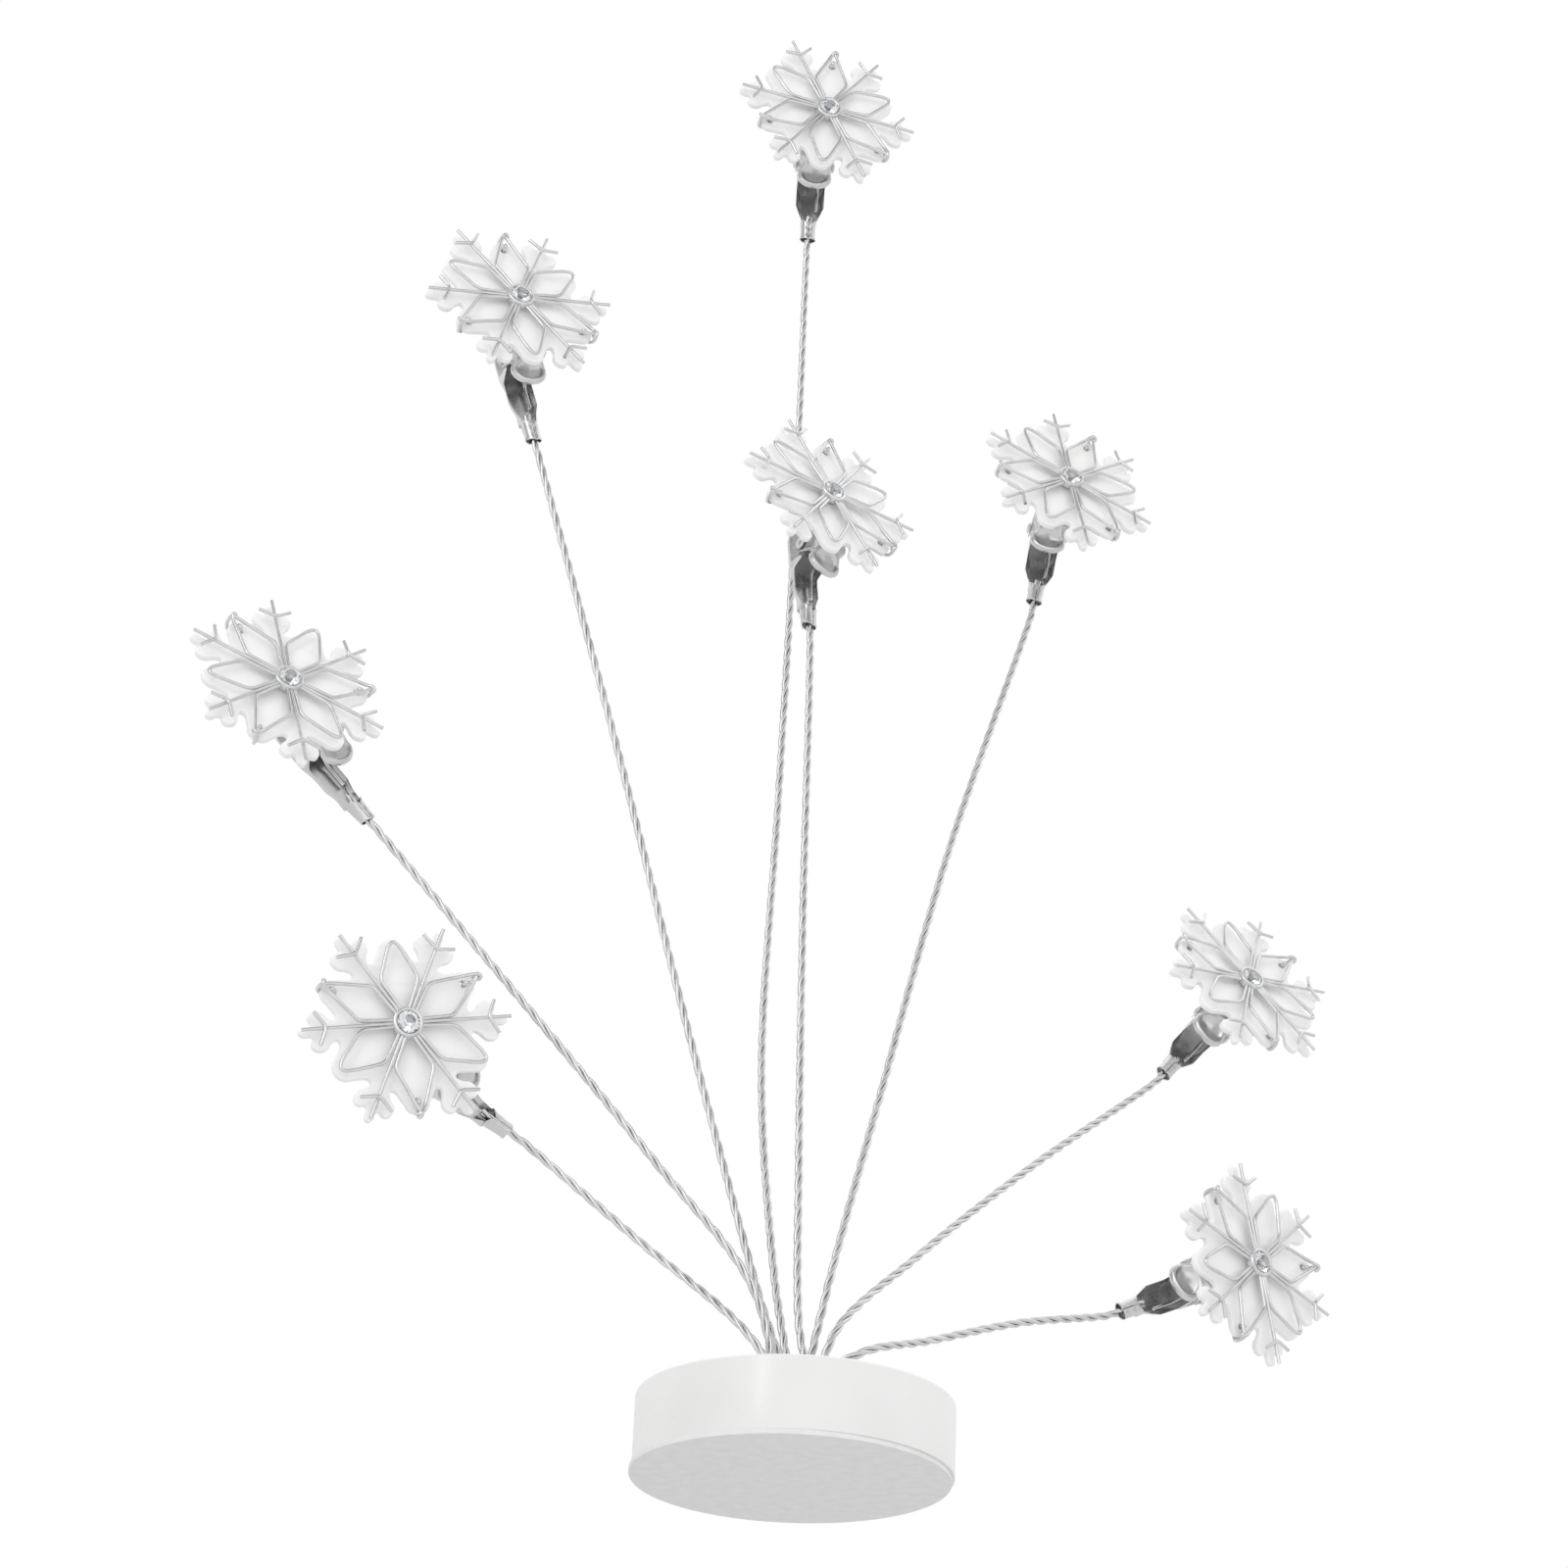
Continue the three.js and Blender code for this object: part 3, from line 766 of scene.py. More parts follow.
@dataclass(frozen=True)
class Foot:
    """The turned foot with its drilled holes, and the pad under it."""

    diameter: float = 60.0
    bottom: float = 1.0
    top: float = 15.0
    top_edge: float = 0.8
    bottom_edge: float = 0.07
    pad_thickness: float = 1.0
    pad_edge: float = 0.07
    pad_shift: float = -0.5
    hole_ring: float = 4.5
    hole_radius: float = 1.15
    hole_depth: float = 9.0
    countersink: float = 0.35
    steps: int = 144
    edge_steps: int = 6
    hole_steps: int = 20

    def hole(self, unit: Unit, height: float) -> Vector:
        """The middle of a unit's hole at a height."""
        turn = math.radians(unit.hole)
        return Vector((self.hole_ring * math.cos(turn), self.hole_ring * math.sin(turn), height))

    def disc(self, low: float, high: float, low_edge: float, high_edge: float) -> bmesh.types.BMesh:
        """A disc as wide as the foot, with rounded edges.

        Args:
            low: The height of its lower face.
            high: The height of its upper face.
            low_edge: The radius of its lower edge.
            high_edge: The radius of its upper edge.

        Returns:
            The disc.
        """
        radius = self.diameter / 2
        quarter = [math.pi / 2 * i / self.edge_steps for i in range(self.edge_steps + 1)]
        lower = [
            (radius - low_edge + low_edge * math.sin(t), low + low_edge - low_edge * math.cos(t))
            for t in quarter
        ]
        upper = [
            (radius - high_edge + high_edge * math.cos(t), high - high_edge + high_edge * math.sin(t))
            for t in quarter
        ]
        return turned([(0, low), *lower, *upper, (0, high)], self.steps)

    def drills(self) -> bpy.types.Mesh:
        """The holes for the stems, each with a small countersink.

        Returns:
            Their shape, as a mesh in metres.
        """
        radius, sink = self.hole_radius, self.countersink
        profile = [
            (0, -self.hole_depth),
            (radius, -self.hole_depth),
            (radius, -sink),
            (radius + 2 * sink, sink),
            (0, sink),
        ]
        bm = bmesh.new()
        for unit in UNITS:
            merge(bm, turned(profile, self.hole_steps), Matrix.Translation(self.hole(unit, self.top)))
        return placed("drills", bm, Matrix())

    def build(self) -> None:
        """Make the foot and its pad."""
        solid = self.disc(self.bottom, self.top, self.bottom_edge, self.top_edge)
        foot = cut(placed("foot", solid, Matrix()), self.drills())
        foot.set_sharp_from_angle(angle=math.radians(CREASE_DEG))
        install("foot", foot, SatinPaint(), Slot.FOOT_PAINT, STAND, "base")
        solid = self.disc(0.0, self.pad_thickness, self.pad_edge, self.pad_edge)
        pad = placed("foot_pad", solid, Matrix.Translation((self.pad_shift, 0, 0)))
        install("foot_pad", pad, FoamPad(), Slot.PAD, STAND, "base_pad")


@dataclass(frozen=True)
class Stem:
    """Three wires twisted together, bent from their hole in the foot to the barrel of their clip."""

    unit: Unit
    foot: Foot
    strands: int = 3
    strand_radius: float = 0.395
    lay: float = 11.76
    steps_per_turn: int = 21
    first_side: Triple = (0.31, 0.95, 0.02)
    rise: float = 4.0
    lead: float = 3.0
    insert: float = 7.0
    hole_gap: float = 0.3
    route_steps: int = 30

    def line(self) -> list[Vector]:
        """The middle line of the wires, from the bottom of their hole into the clip.

        Returns:
            The line's points.
        """
        end = Vector(self.unit.clip)
        along = self.unit.clip_place().to_3x3() @ Vector((1, 0, 0))
        top = self.foot.hole(self.unit, self.foot.top)
        base = self.foot.hole(self.unit, self.foot.top - self.foot.hole_depth + self.hole_gap)
        raised = top + Vector((0, 0, self.rise))
        bends = [Vector(bend) for bend in self.unit.bends]
        route = smooth_route([top, raised, *bends, end - along * self.lead, end], self.route_steps)
        return [base, *route, end + along * self.insert]

    def build(self) -> None:
        """Make the strands, which touch one another."""
        line = even_points(self.line(), self.lay / self.steps_per_turn)
        offset = self.strand_radius / math.sin(math.pi / self.strands)
        strands = twisted(line, self.strands, offset, self.lay, self.first_side)
        name = f"stem_{self.unit.number}_strands"
        mesh = placed(name, wire(strands, self.strand_radius), Matrix(), WIRE_CREASE_DEG)
        install(name, mesh, STEM_WIRE, Slot.STEM_WIRE, STAND, f"stem_{self.unit.number}")


# The clip


@dataclass(frozen=True)
class Clip:
    """A sprung crocodile clip.

    A channel is crimped on the stem, a jaw with a thumb pad turns on a rivet through both, and a spring
    round the rivet shuts it. X runs from the mouth of the barrel and Z from the middle of the stem.
    """

    unit: Unit
    length: float = 35.0
    pivot_x: float = 20.0
    pivot_z: float = 3.4
    fit_gap: float = 0.3

    # Sheet and its folds
    sheet: float = 0.45
    corner_share: float = 0.9
    wall_steps: int = 4
    fold_steps: int = 5
    web_steps: int = 3

    # Crimped barrel, from its mouth to its throat
    barrel_length: float = 5.5
    barrel_floor: float = -1.65
    barrel_thinning: float = 0.8
    barrel_steps: int = 24
    mouth_floor: float = -1.25
    mouth_cut: float = 0.6
    mouth_flare: float = 0.06
    throat_flare: float = 0.08
    flare_share: float = 0.2
    wing_cut: float = 1.6
    wing_points: int = 5
    dent_depth: float = 0.04
    dent_waves: float = 2.5

    # Channel, which widens behind the barrel, with walls that lean outwards
    channel_lap: float = 0.3
    channel_start: float = 10.5
    channel_half: float = 3.3
    channel_corner: float = 0.45
    channel_steps: int = 60
    throat_half: float = 1.72
    taper_x: float = 6.2
    taper_half: float = 1.85
    barrel_wall: float = 0.35
    wall_top: float = -0.15
    wall_settled: float = 8.5
    wall_flare: float = 0.85
    flare_fade: float = 13.6

    # Ears of the channel and of the jaw
    ear_radius: float = 1.85
    ear_half: float = 4.1
    ear_run: float = 2.4
    ear_fall: float = 0.8
    upper_ear_radius: float = 2.05
    upper_ear_rise: float = 1.3
    upper_ear_fall: float = 0.5

    # Thumb pad
    thumb_end: float = 11.4
    thumb_half: float = 4.1
    thumb_height: float = 6.2
    thumb_middle: float = 14.6
    thumb_steps: int = 64
    dish_depth: float = 0.08
    dish_under: float = 0.5
    dish_neck: float = 1.1
    rim_fade: Pair = (0.35, 0.9)
    roll_radius: float = 0.24
    roll_bend: float = 0.8

    # Upper jaw, with the seat of the snowflake on its back
    spine_start: float = 15.0
    spine_end: float = 18.8
    neck_x: float = 16.6
    neck_half: float = 3.3
    neck_run: float = 1.0
    neck_sink: float = 0.12
    jaw_start: float = 15.2
    jaw_corner: float = 0.6
    jaw_crown: float = 0.1
    jaw_wall: float = 0.35
    jaw_steps: int = 30
    seat: float = 8.0
    seat_x: float = 30.5
    slope_deg: float = 5.0

    # Nose and teeth
    nose_half: float = 2.3
    nose_floor: float = 0.8
    nose_corner: float = 0.55
    tooth_start: float = 25.0
    tooth_count: int = 4
    tooth_height: float = 0.8
    tooth_line: float = 3.9
    tooth_gap: float = 0.4

    # Rivet and spring
    pin_radius: float = 0.8
    pin_head_radius: float = 1.4
    pin_head_height: float = 0.6
    pin_steps: int = 24
    spring_radius: float = 0.42
    spring_turns: float = 2.5
    spring_pitch: float = 1.3
    spring_coil: float = 1.45
    spring_steps: int = 20
    floor_leg_gap: float = 0.1
    floor_leg_end: float = 9.8
    floor_leg_corner: float = 15.5
    floor_leg_bend: float = 1.5
    thumb_leg_end: float = 14.2

    def section(
        self, x: float, half: float, back: float, edge: float, corner: float, crown: float = 0.0,
        flare: float = 0.0,
    ) -> list[Vector]:
        """A U-shaped section of folded sheet, from its left edge to its right one.

        Args:
            x: Its place along the clip.
            half: Half its outer width at the free edges.
            back: The outer height of the web between its walls.
            edge: The height of its walls' free edges.
            corner: The radius of its folds.
            crown: How far the web's middle stands out.
            flare: How much further out the free edges stand than the folds.

        Returns:
            Its points.
        """
        way = 1 if edge > back else -1
        corner = min(corner, abs(edge - back) * self.corner_share, half * self.corner_share)
        start = back + way * corner
        points = []
        for i in range(self.wall_steps):
            share = i / self.wall_steps
            points.append((half - flare * share, mix(edge, start, share)))
        flat = half - flare - corner
        for i in range(self.fold_steps + 1):
            turn = math.pi / 2 * i / self.fold_steps
            points.append((flat + corner * math.cos(turn), start - way * corner * math.sin(turn)))
        for i in range(1, self.web_steps):
            share = 1 - i / self.web_steps
            points.append((flat * share, back - way * crown * (1 - share**2)))
        middle = (0.0, back - way * crown)
        mirrored = [(-y, z) for y, z in reversed(points)]
        return [Vector((x, y, z)) for y, z in [*points, middle, *mirrored]]

    def teeth(self) -> list[tuple[float, float, float, float]]:
        """The places of the teeth, with half the nose's width, its floor and the tooth line there.

        Returns:
            Each tip and each gap as (x, half width, floor, tooth line).
        """
        steps = 2 * self.tooth_count
        rows = []
        for i in range(steps + 1):
            share = i / steps
            rows.append((
                mix(self.tooth_start, self.length, share),
                mix(self.channel_half, self.nose_half, share),
                mix(self.barrel_floor, self.nose_floor, share),
                self.tooth_line - (i % 2) * self.tooth_height,
            ))
        return rows

    def lower_edge(self, x: float) -> float:
        """The height of the channel's walls at a place, with the ears round the pin.

        Args:
            x: The place along the clip.

        Returns:
            The height.
        """
        reach = abs(x - self.pivot_x)
        if reach < self.ear_radius:
            return self.pivot_z + math.sqrt(self.ear_radius**2 - reach**2)
        if x < self.pivot_x:
            wall = ease(self.barrel_wall, self.wall_top, self.barrel_length, self.wall_settled, x)
            ramp = self.pivot_x - self.ear_run * self.ear_radius
            return ease(wall, self.pivot_z, ramp, self.pivot_x - self.ear_radius, x)
        fall = min(1.0, (reach - self.ear_radius) / self.ear_fall)
        return mix(self.pivot_z, self.tooth_line - self.tooth_height, fall)

    def channel_rows(self) -> list[list[Vector]]:
        """The outer face of the channel, from inside its barrel to its toothed nose.

        Returns:
            Its sections.
        """
        start = self.barrel_length - self.channel_lap
        plan = (
            (start, self.throat_half),
            (self.taper_x, self.taper_half),
            (self.channel_start, self.channel_half),
        )
        rows = []
        for i in range(self.channel_steps):
            x = mix(start, self.tooth_start, i / self.channel_steps)
            flare = self.wall_flare * ease(0.0, 1.0, self.barrel_length, self.wall_settled, x)
            flare *= ease(1.0, 0.0, self.flare_fade, self.pivot_x - self.ear_radius, x)
            half, edge = polyline(plan, x), self.lower_edge(x)
            rows.append(self.section(x, half, self.barrel_floor, edge, self.channel_corner, flare=flare))
        for x, half, floor, line in self.teeth():
            rows.append(self.section(x, half, floor, line, self.nose_corner))
        return rows

    def barrel_rows(self) -> list[list[Vector]]:
        """The outer face of the crimped barrel, whose two wings fold over the stem and meet in a seam.

        Returns:
            Its sections.
        """
        throat = (
            (0.03, 1.08), (0.1, 1.22), (0.4, 1.33), (0.85, 1.34), (1.28, 1.2), (1.6, 0.85), (1.73, 0.3),
            (1.72, -0.45), (1.5, -1.15), (1.0, -1.55), (0.5, -1.65),
        )
        mouth = (
            (0.03, 1.05), (0.1, 1.16), (0.4, 1.24), (0.8, 1.14), (1.2, 0.86), (1.55, 0.5), (1.74, 0.05),
            (1.62, -0.4), (1.22, -0.82), (0.8, -1.12), (0.4, -1.25),
        )
        rows = []
        for i in range(self.barrel_steps + 1):
            share = i / self.barrel_steps
            flare = self.mouth_flare * ease(1.0, 0.0, 0.0, self.flare_share, share)
            flare += self.throat_flare * ease(0.0, 1.0, 1 - self.flare_share, 1.0, share)
            dent = self.dent_depth * math.sin(math.tau * self.dent_waves * share)
            points = []
            for j, (near, far) in enumerate(zip(mouth, throat)):
                lap = max(0.0, 1 - j / self.wing_points)
                x = mix(self.mouth_cut * (1 - lap), self.barrel_length - self.wing_cut * lap, share)
                y = mix(near[0], far[0], share)
                z = mix(near[1], far[1], share)
                points.append(Vector((x, y * (1 + flare), z + (dent + flare) * lap)))
            keel_x = mix(self.mouth_cut, self.barrel_length, share)
            keel = Vector((keel_x, 0.0, mix(self.mouth_floor, self.barrel_floor, share)))
            mirrored = [Vector((spot.x, -spot.y, spot.z)) for spot in reversed(points)]
            rows.append([*points, keel, *mirrored])
        return rows

    def back(self, x: float) -> float:
        """The height of the upper jaw's back at a place, which slopes towards the nose."""
        return self.seat - math.tan(math.radians(self.slope_deg)) * (x - self.seat_x)

    def spine(self, x: float) -> float:
        """The height of the upper jaw's web along its middle, from the thumb pad's dish up to its back."""
        dish = self.thumb_height - self.dish_depth
        return ease(dish, self.back(x), self.spine_start, self.spine_end, x)

    def thumb_dish(self) -> bmesh.types.BMesh:
        """The oval thumb pad: a shallow dish with a rolled rim, which fades out towards the neck.

        Returns:
            The pad's shape.
        """
        dish = -self.dish_depth
        profile = (
            (0.0, dish), (0.35, dish), (0.55, dish), (0.62, -0.05), (0.66, 0.05), (0.70, 0.24),
            (0.745, 0.41), (0.80, 0.48), (0.86, 0.43), (0.915, 0.28), (0.96, 0.04), (0.99, -0.26),
            (1.0, -0.6), (0.98, -0.82), (0.945, -0.84), (0.92, -0.62), (0.88, -0.3), (0.82, dish),
            (0.76, -0.12), (0.7, -0.34), (0.6, -0.5), (0.0, -0.52),
        )
        bm = turned(profile, self.thumb_steps)
        reach = self.thumb_middle - self.thumb_end
        for vert in bm.verts:
            fade = ease(0.0, 1.0, *self.rim_fade, vert.co.x)
            height = self.thumb_height + mix(vert.co.z, min(vert.co.z, dish), fade)
            x = self.thumb_middle + vert.co.x * (reach if vert.co.x < 0 else self.dish_neck * reach)
            rise = self.spine(x) - self.spine(self.thumb_middle)
            vert.co = (x, vert.co.y * self.thumb_half, height + rise)
        return bm

    def rolled_edges(self) -> bmesh.types.BMesh:
        """The rolled edges that sweep from the thumb pad's rim down to the ears.

        Returns:
            The two edges.
        """
        sweep = (
            (14.0, 3.52, 6.32), (15.4, 3.42, 6.34), (16.5, 3.28, 6.30), (17.2, 3.5, 5.6), (17.8, 3.92, 4.3),
            (18.0, 3.92, 3.2),
        )
        sides = [[Vector((x, side * y, z)) for x, y, z in sweep] for side in (-1, 1)]
        return wire([filleted(side, self.roll_bend) for side in sides], self.roll_radius)

    def upper_edge(self, x: float) -> float:
        """The height of the upper jaw's edges at a place, with the ears round the pin.

        Args:
            x: The place along the clip.

        Returns:
            The height.
        """
        reach = abs(x - self.pivot_x)
        if reach < self.upper_ear_radius:
            return self.pivot_z - math.sqrt(self.upper_ear_radius**2 - reach**2)
        beyond = reach - self.upper_ear_radius
        if x < self.pivot_x:
            return mix(self.pivot_z, self.thumb_height, min(1.0, beyond / self.upper_ear_rise))
        return mix(self.pivot_z, self.tooth_line + self.tooth_gap, min(1.0, beyond / self.upper_ear_fall))

    def jaw_rows(self) -> list[list[Vector]]:
        """The outer face of the upper jaw, from under its thumb pad to its toothed nose.

        Returns:
            Its sections.
        """
        rows = []
        for i in range(self.jaw_steps):
            x = mix(self.jaw_start, self.tooth_start, i / self.jaw_steps)
            back = self.spine(x) - ease(self.neck_sink, 0.0, self.neck_x, self.neck_x + self.neck_run, x)
            half = ease(self.neck_half, self.ear_half, self.neck_x, self.pivot_x - self.upper_ear_radius, x)
            half = ease(half, self.channel_half, self.pivot_x + self.upper_ear_radius, self.tooth_start, x)
            edge = min(self.upper_edge(x), back - self.jaw_wall)
            rows.append(self.section(x, half, back, edge, self.jaw_corner, self.jaw_crown))
        for x, half, _, line in self.teeth():
            edge = line + self.tooth_gap
            rows.append(self.section(x, half, self.back(x), edge, self.jaw_corner, self.jaw_crown))
        return rows

    def rivet(self) -> bmesh.types.BMesh:
        """The pin through the ears, with a domed head at each end.

        Returns:
            The pin, along Z.
        """
        shank = self.ear_half + self.fit_gap
        dome = [
            (self.pin_head_radius * math.cos(t), shank + self.pin_head_height * math.sin(t))
            for t in (0.0, 0.35, 0.7, 1.05, 1.3)
        ]
        upper = [(self.pin_radius, shank), *dome, (0.0, shank + self.pin_head_height)]
        lower = [(radius, -height) for radius, height in reversed(upper)]
        return turned([*lower, *upper], self.pin_steps)

    def spring_line(self) -> list[Vector]:
        """The spring's middle line: a leg on the channel's floor, the coil, a leg under the thumb pad.

        Returns:
            The line's points.
        """
        width = self.spring_turns * self.spring_pitch
        low = self.barrel_floor + self.sheet + self.spring_radius + self.floor_leg_gap
        high = self.thumb_height - self.dish_under - self.fit_gap - self.spring_radius
        steps = round(self.spring_turns * self.spring_steps)
        coil = []
        for i in range(steps + 1):
            turn = -math.pi / 2 + math.tau * self.spring_turns * i / steps
            coil.append(Vector((
                self.pivot_x + self.spring_coil * math.cos(turn),
                mix(-width / 2, width / 2, i / steps),
                self.pivot_z + self.spring_coil * math.sin(turn),
            )))
        end = Vector((self.floor_leg_end, -width / 2, low))
        corner = Vector((self.floor_leg_corner, -width / 2, low))
        floor_leg = filleted([end, corner, coil[0]], self.floor_leg_bend)
        thumb_leg = Vector((self.thumb_leg_end, width / 2, high))
        return [*floor_leg[:-1], *coil, thumb_leg]

    def build(self) -> None:
        """Make the clip's pieces."""
        number, place = self.unit.number, self.unit.clip_place()
        pin_place = place @ Matrix.Translation((self.pivot_x, 0, self.pivot_z))
        name = f"clip_{number}_channel"
        lower = folded_sheet(self.channel_rows(), self.sheet)
        merge(lower, folded_sheet(self.barrel_rows(), self.sheet * self.barrel_thinning))
        channel = placed(name, lower, place)
        install(name, channel, CLIP_PLATE, Slot.CLIP_PLATE, STAND, f"lower_jaw_{number}")
        name = f"clip_{number}_jaw"
        upper = folded_sheet(self.jaw_rows(), self.sheet)
        merge(upper, self.thumb_dish())
        merge(upper, self.rolled_edges())
        jaw = placed(name, upper, place)
        install(name, jaw, CLIP_PLATE, Slot.CLIP_PLATE, self.unit.jaw, f"upper_jaw_{number}")
        name = f"clip_{number}_rivet"
        rivet = placed(name, self.rivet(), pin_place @ Matrix.Rotation(math.pi / 2, 4, "X"))
        install(name, rivet, CLIP_PLATE, Slot.CLIP_PLATE, STAND, f"pivot_pin_{number}")
        name = f"clip_{number}_spring"
        coil = wire([self.spring_line()], self.spring_radius)
        spring = placed(name, coil, place, WIRE_CREASE_DEG)
        piece = install(name, spring, SPRING_WIRE, Slot.SPRING_STEEL, None, f"spring_{number}")
        self.unit.jaw
        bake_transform(piece)


# The snowflake


@dataclass(frozen=True)
class Snowflake:
    """A snowflake of soldered wire with a stone at its middle, tied to a cut-out backing on its clip."""

    clip: Clip
    arms: int = 6
    radius: float = 21.15

    # Backing, with the holes for the ties
    backing_gap: float = 0.3
    backing_thickness: float = 1.4
    backing_edge: float = 0.3
    backing_crease_deg: float = 40.0
    tie_hole: float = 15.2
    tie_hole_radius: float = 0.62
    tie_gap: float = 0.1

    # Petals of wire, plain and hooked
    standoff: float = 1.6
    wire_radius: float = 0.39
    wire_roundness: int = 3
    root: float = 2.4
    root_half: float = 0.6
    widest: float = 8.8
    widest_half: float = 3.9
    shoulder: float = 1.2
    petal_length: float = 16.9
    petal_tip_half: float = 1.2
    petal_bend: float = 1.3
    hooked_length: float = 18.1
    hooked_tip_half: float = 0.7
    hooked_bend: float = 0.9
    hooked_steps: int = 5

    # Barbs, with their solder
    barb_start: float = 16.4
    barb_length: float = 3.8
    barb_deg: float = 62.0
    barb_lift: float = 1.7
    barb_droop: float = 0.1
    barb_bend: float = 0.9
    solder_radius: float = 0.45
    solder_stretch: Triple = (1.3, 1.0, 0.95)
    solder_shift: float = 0.15
    solder_lift: float = 0.3

    # How much the handwork varies
    petal_shake_deg: float = 1.0
    length_shake: float = 0.25
    barb_shake_deg: float = 4.0

    # Bezel and stone
    bezel_radius: float = 3.1
    bezel_rim: float = 0.9
    bezel_lap: float = 0.1
    bezel_steps: int = 40
    stone_radius: float = 2.25
    stone_table: float = 1.2
    stone_crown: float = 0.85
    stone_depth: float = 2.0
    stone_sink: float = 0.15
    girdle_half: float = 0.06
    facet_crease_deg: float = 5.0

    # Glue under the backing
    glue_half: Pair = (5.5, 2.4)
    glue_back: float = 2.5
    glue_depth: float = 0.2
    glue_lift: float = 0.1

    @property
    def unit(self) -> Unit:
        """The unit that the snowflake belongs to."""
        return self.clip.unit

    @property
    def arm_deg(self) -> float:
        """The angle from one arm to the next."""
        return 360 / self.arms

    def place(self) -> Matrix:
        """Where the snowflake's seat on the jaw lies, with Z out of the snowflake's face.

        Returns:
            The place.
        """
        lean = math.radians(self.unit.lean)
        height = self.clip.seat * math.cos(lean) + self.clip.ear_half * math.sin(abs(lean))
        return (
            self.unit.clip_place()
            @ Matrix.Rotation(lean, 4, "X")
            @ Matrix.Translation((self.clip.seat_x, self.unit.shift, height))
            @ Matrix.Rotation(math.radians(self.clip.slope_deg), 4, "Y")
        )

    def spun(self, height: float) -> Matrix:
        """The place of a layer at a height, turned as the snowflake is glued."""
        spin = Matrix.Rotation(math.radians(self.unit.spin), 4, "Z")
        return self.place() @ Matrix.Translation((0, 0, height)) @ spin

    def outline(self) -> list[Pair]:
        """The outline of the backing: three round lobes at each arm and a round petal between two arms.

        Returns:
            The outline's points.
        """
        arm = (
            (self.radius, 0.0), (20.5, 0.85), (18.5, 1.25), (19.1, 2.5), (18.95, 3.5), (17.9, 4.05),
            (16.6, 3.75), (14.9, 2.35), (13.7, 2.1),
        )
        petal = ((15.4, 2.75), (16.6, 2.15), (17.35, 1.2), (17.6, 0.0))
        half = [(r, math.asin(side / r)) for r, side in arm]
        half += [(r, math.pi / self.arms - math.asin(side / r)) for r, side in petal]
        points = []
        for k in range(self.arms):
            points += [(r, k * math.tau / self.arms + t) for r, t in half]
            points += [(r, (k + 1) * math.tau / self.arms - t) for r, t in reversed(half[1:-1])]
        return [(r * math.cos(t), r * math.sin(t)) for r, t in points]

    def backing(self) -> bmesh.types.BMesh:
        """The cut-out sheet, with a small hole for each tie.

        Returns:
            The sheet, with its back at Z 0.
        """
        curve = bpy.data.curves.new("backing", "CURVE")
        curve.dimensions = "2D"
        curve.fill_mode = "BOTH"
        curve.extrude = self.backing_thickness / 2 - self.backing_edge
        curve.bevel_depth = self.backing_edge
        curve.bevel_resolution = 2
        curve.offset = -self.backing_edge
        curve.resolution_u = 5
        outlines = [self.outline()]
        for k in range(1, self.arms, 2):
            turn = math.radians(self.arm_deg * (k + 0.5))
            middle = Vector((self.tie_hole * math.cos(turn), self.tie_hole * math.sin(turn)))
            outlines.append([
                tuple(middle + self.tie_hole_radius * Vector((math.cos(t), math.sin(t))))
                for t in (0, math.pi / 2, math.pi, -math.pi / 2)
            ])
        for outline in outlines:
            spline = curve.splines.new("BEZIER")
            spline.use_cyclic_u = True
            spline.bezier_points.add(len(outline) - 1)
            for point, (x, y) in zip(spline.bezier_points, outline):
                point.co = (x, y, 0)
                point.handle_left_type = "AUTO"
                point.handle_right_type = "AUTO"
        bm = curve_solid(curve)
        bm.transform(Matrix.Translation((0, 0, self.backing_thickness / 2)))
        return bm

    def wires(self) -> bmesh.types.BMesh:
        """Petals, arms and barbs, with the ties at every second petal.

        Returns:
            The wires.
        """
        shake = random.Random(self.unit.number)
        paths = []
        for k in range(self.arms):
            arm = Matrix.Rotation(math.radians(self.arm_deg * k), 3, "Z")
            turned_deg = shake.uniform(-self.petal_shake_deg, self.petal_shake_deg)
            petal = Matrix.Rotation(math.radians(self.arm_deg * (k + 0.5) + turned_deg), 3, "Z")
            grown = shake.uniform(-self.length_shake, self.length_shake)
            lines = self.hooked_petal(grown) if k % 2 else [self.plain_petal(grown)]
            paths += [[petal @ spot for spot in line] for line in lines]
            paths.append([arm @ Vector((r, 0, self.standoff)) for r in (self.root, self.radius)])
            barb = self.barb(shake.uniform(-self.barb_shake_deg, self.barb_shake_deg))
            paths.append([arm @ spot for spot in barb])
        return wire(paths, self.wire_radius, self.wire_roundness)

    def petal_side(self, side: int, length: float, tip_half: float) -> list[Vector]:
        """One side of a petal, from the bezel to the shoulder behind its tip.

        Args:
            side: Which side, -1 or 1.
            length: How far out the tip lies.
            tip_half: Half the petal's width at its shoulder.

        Returns:
            The side's corners.
        """
        return [
            Vector((self.root, side * self.root_half, self.standoff)),
            Vector((self.widest, side * self.widest_half, self.standoff)),
            Vector((length - self.shoulder, side * tip_half, self.standoff)),
        ]

    def plain_petal(self, grown: float) -> list[Vector]:
        """A petal with a rounded tip, grown by a little from its drawn length.

        Args:
            grown: How much longer it is than drawn.

        Returns:
            The petal's line.
        """
        length = self.petal_length + grown
        left = self.petal_side(-1, length, self.petal_tip_half)
        right = self.petal_side(1, length, self.petal_tip_half)
        return filleted([*left, Vector((length, 0, self.standoff)), *reversed(right)], self.petal_bend)

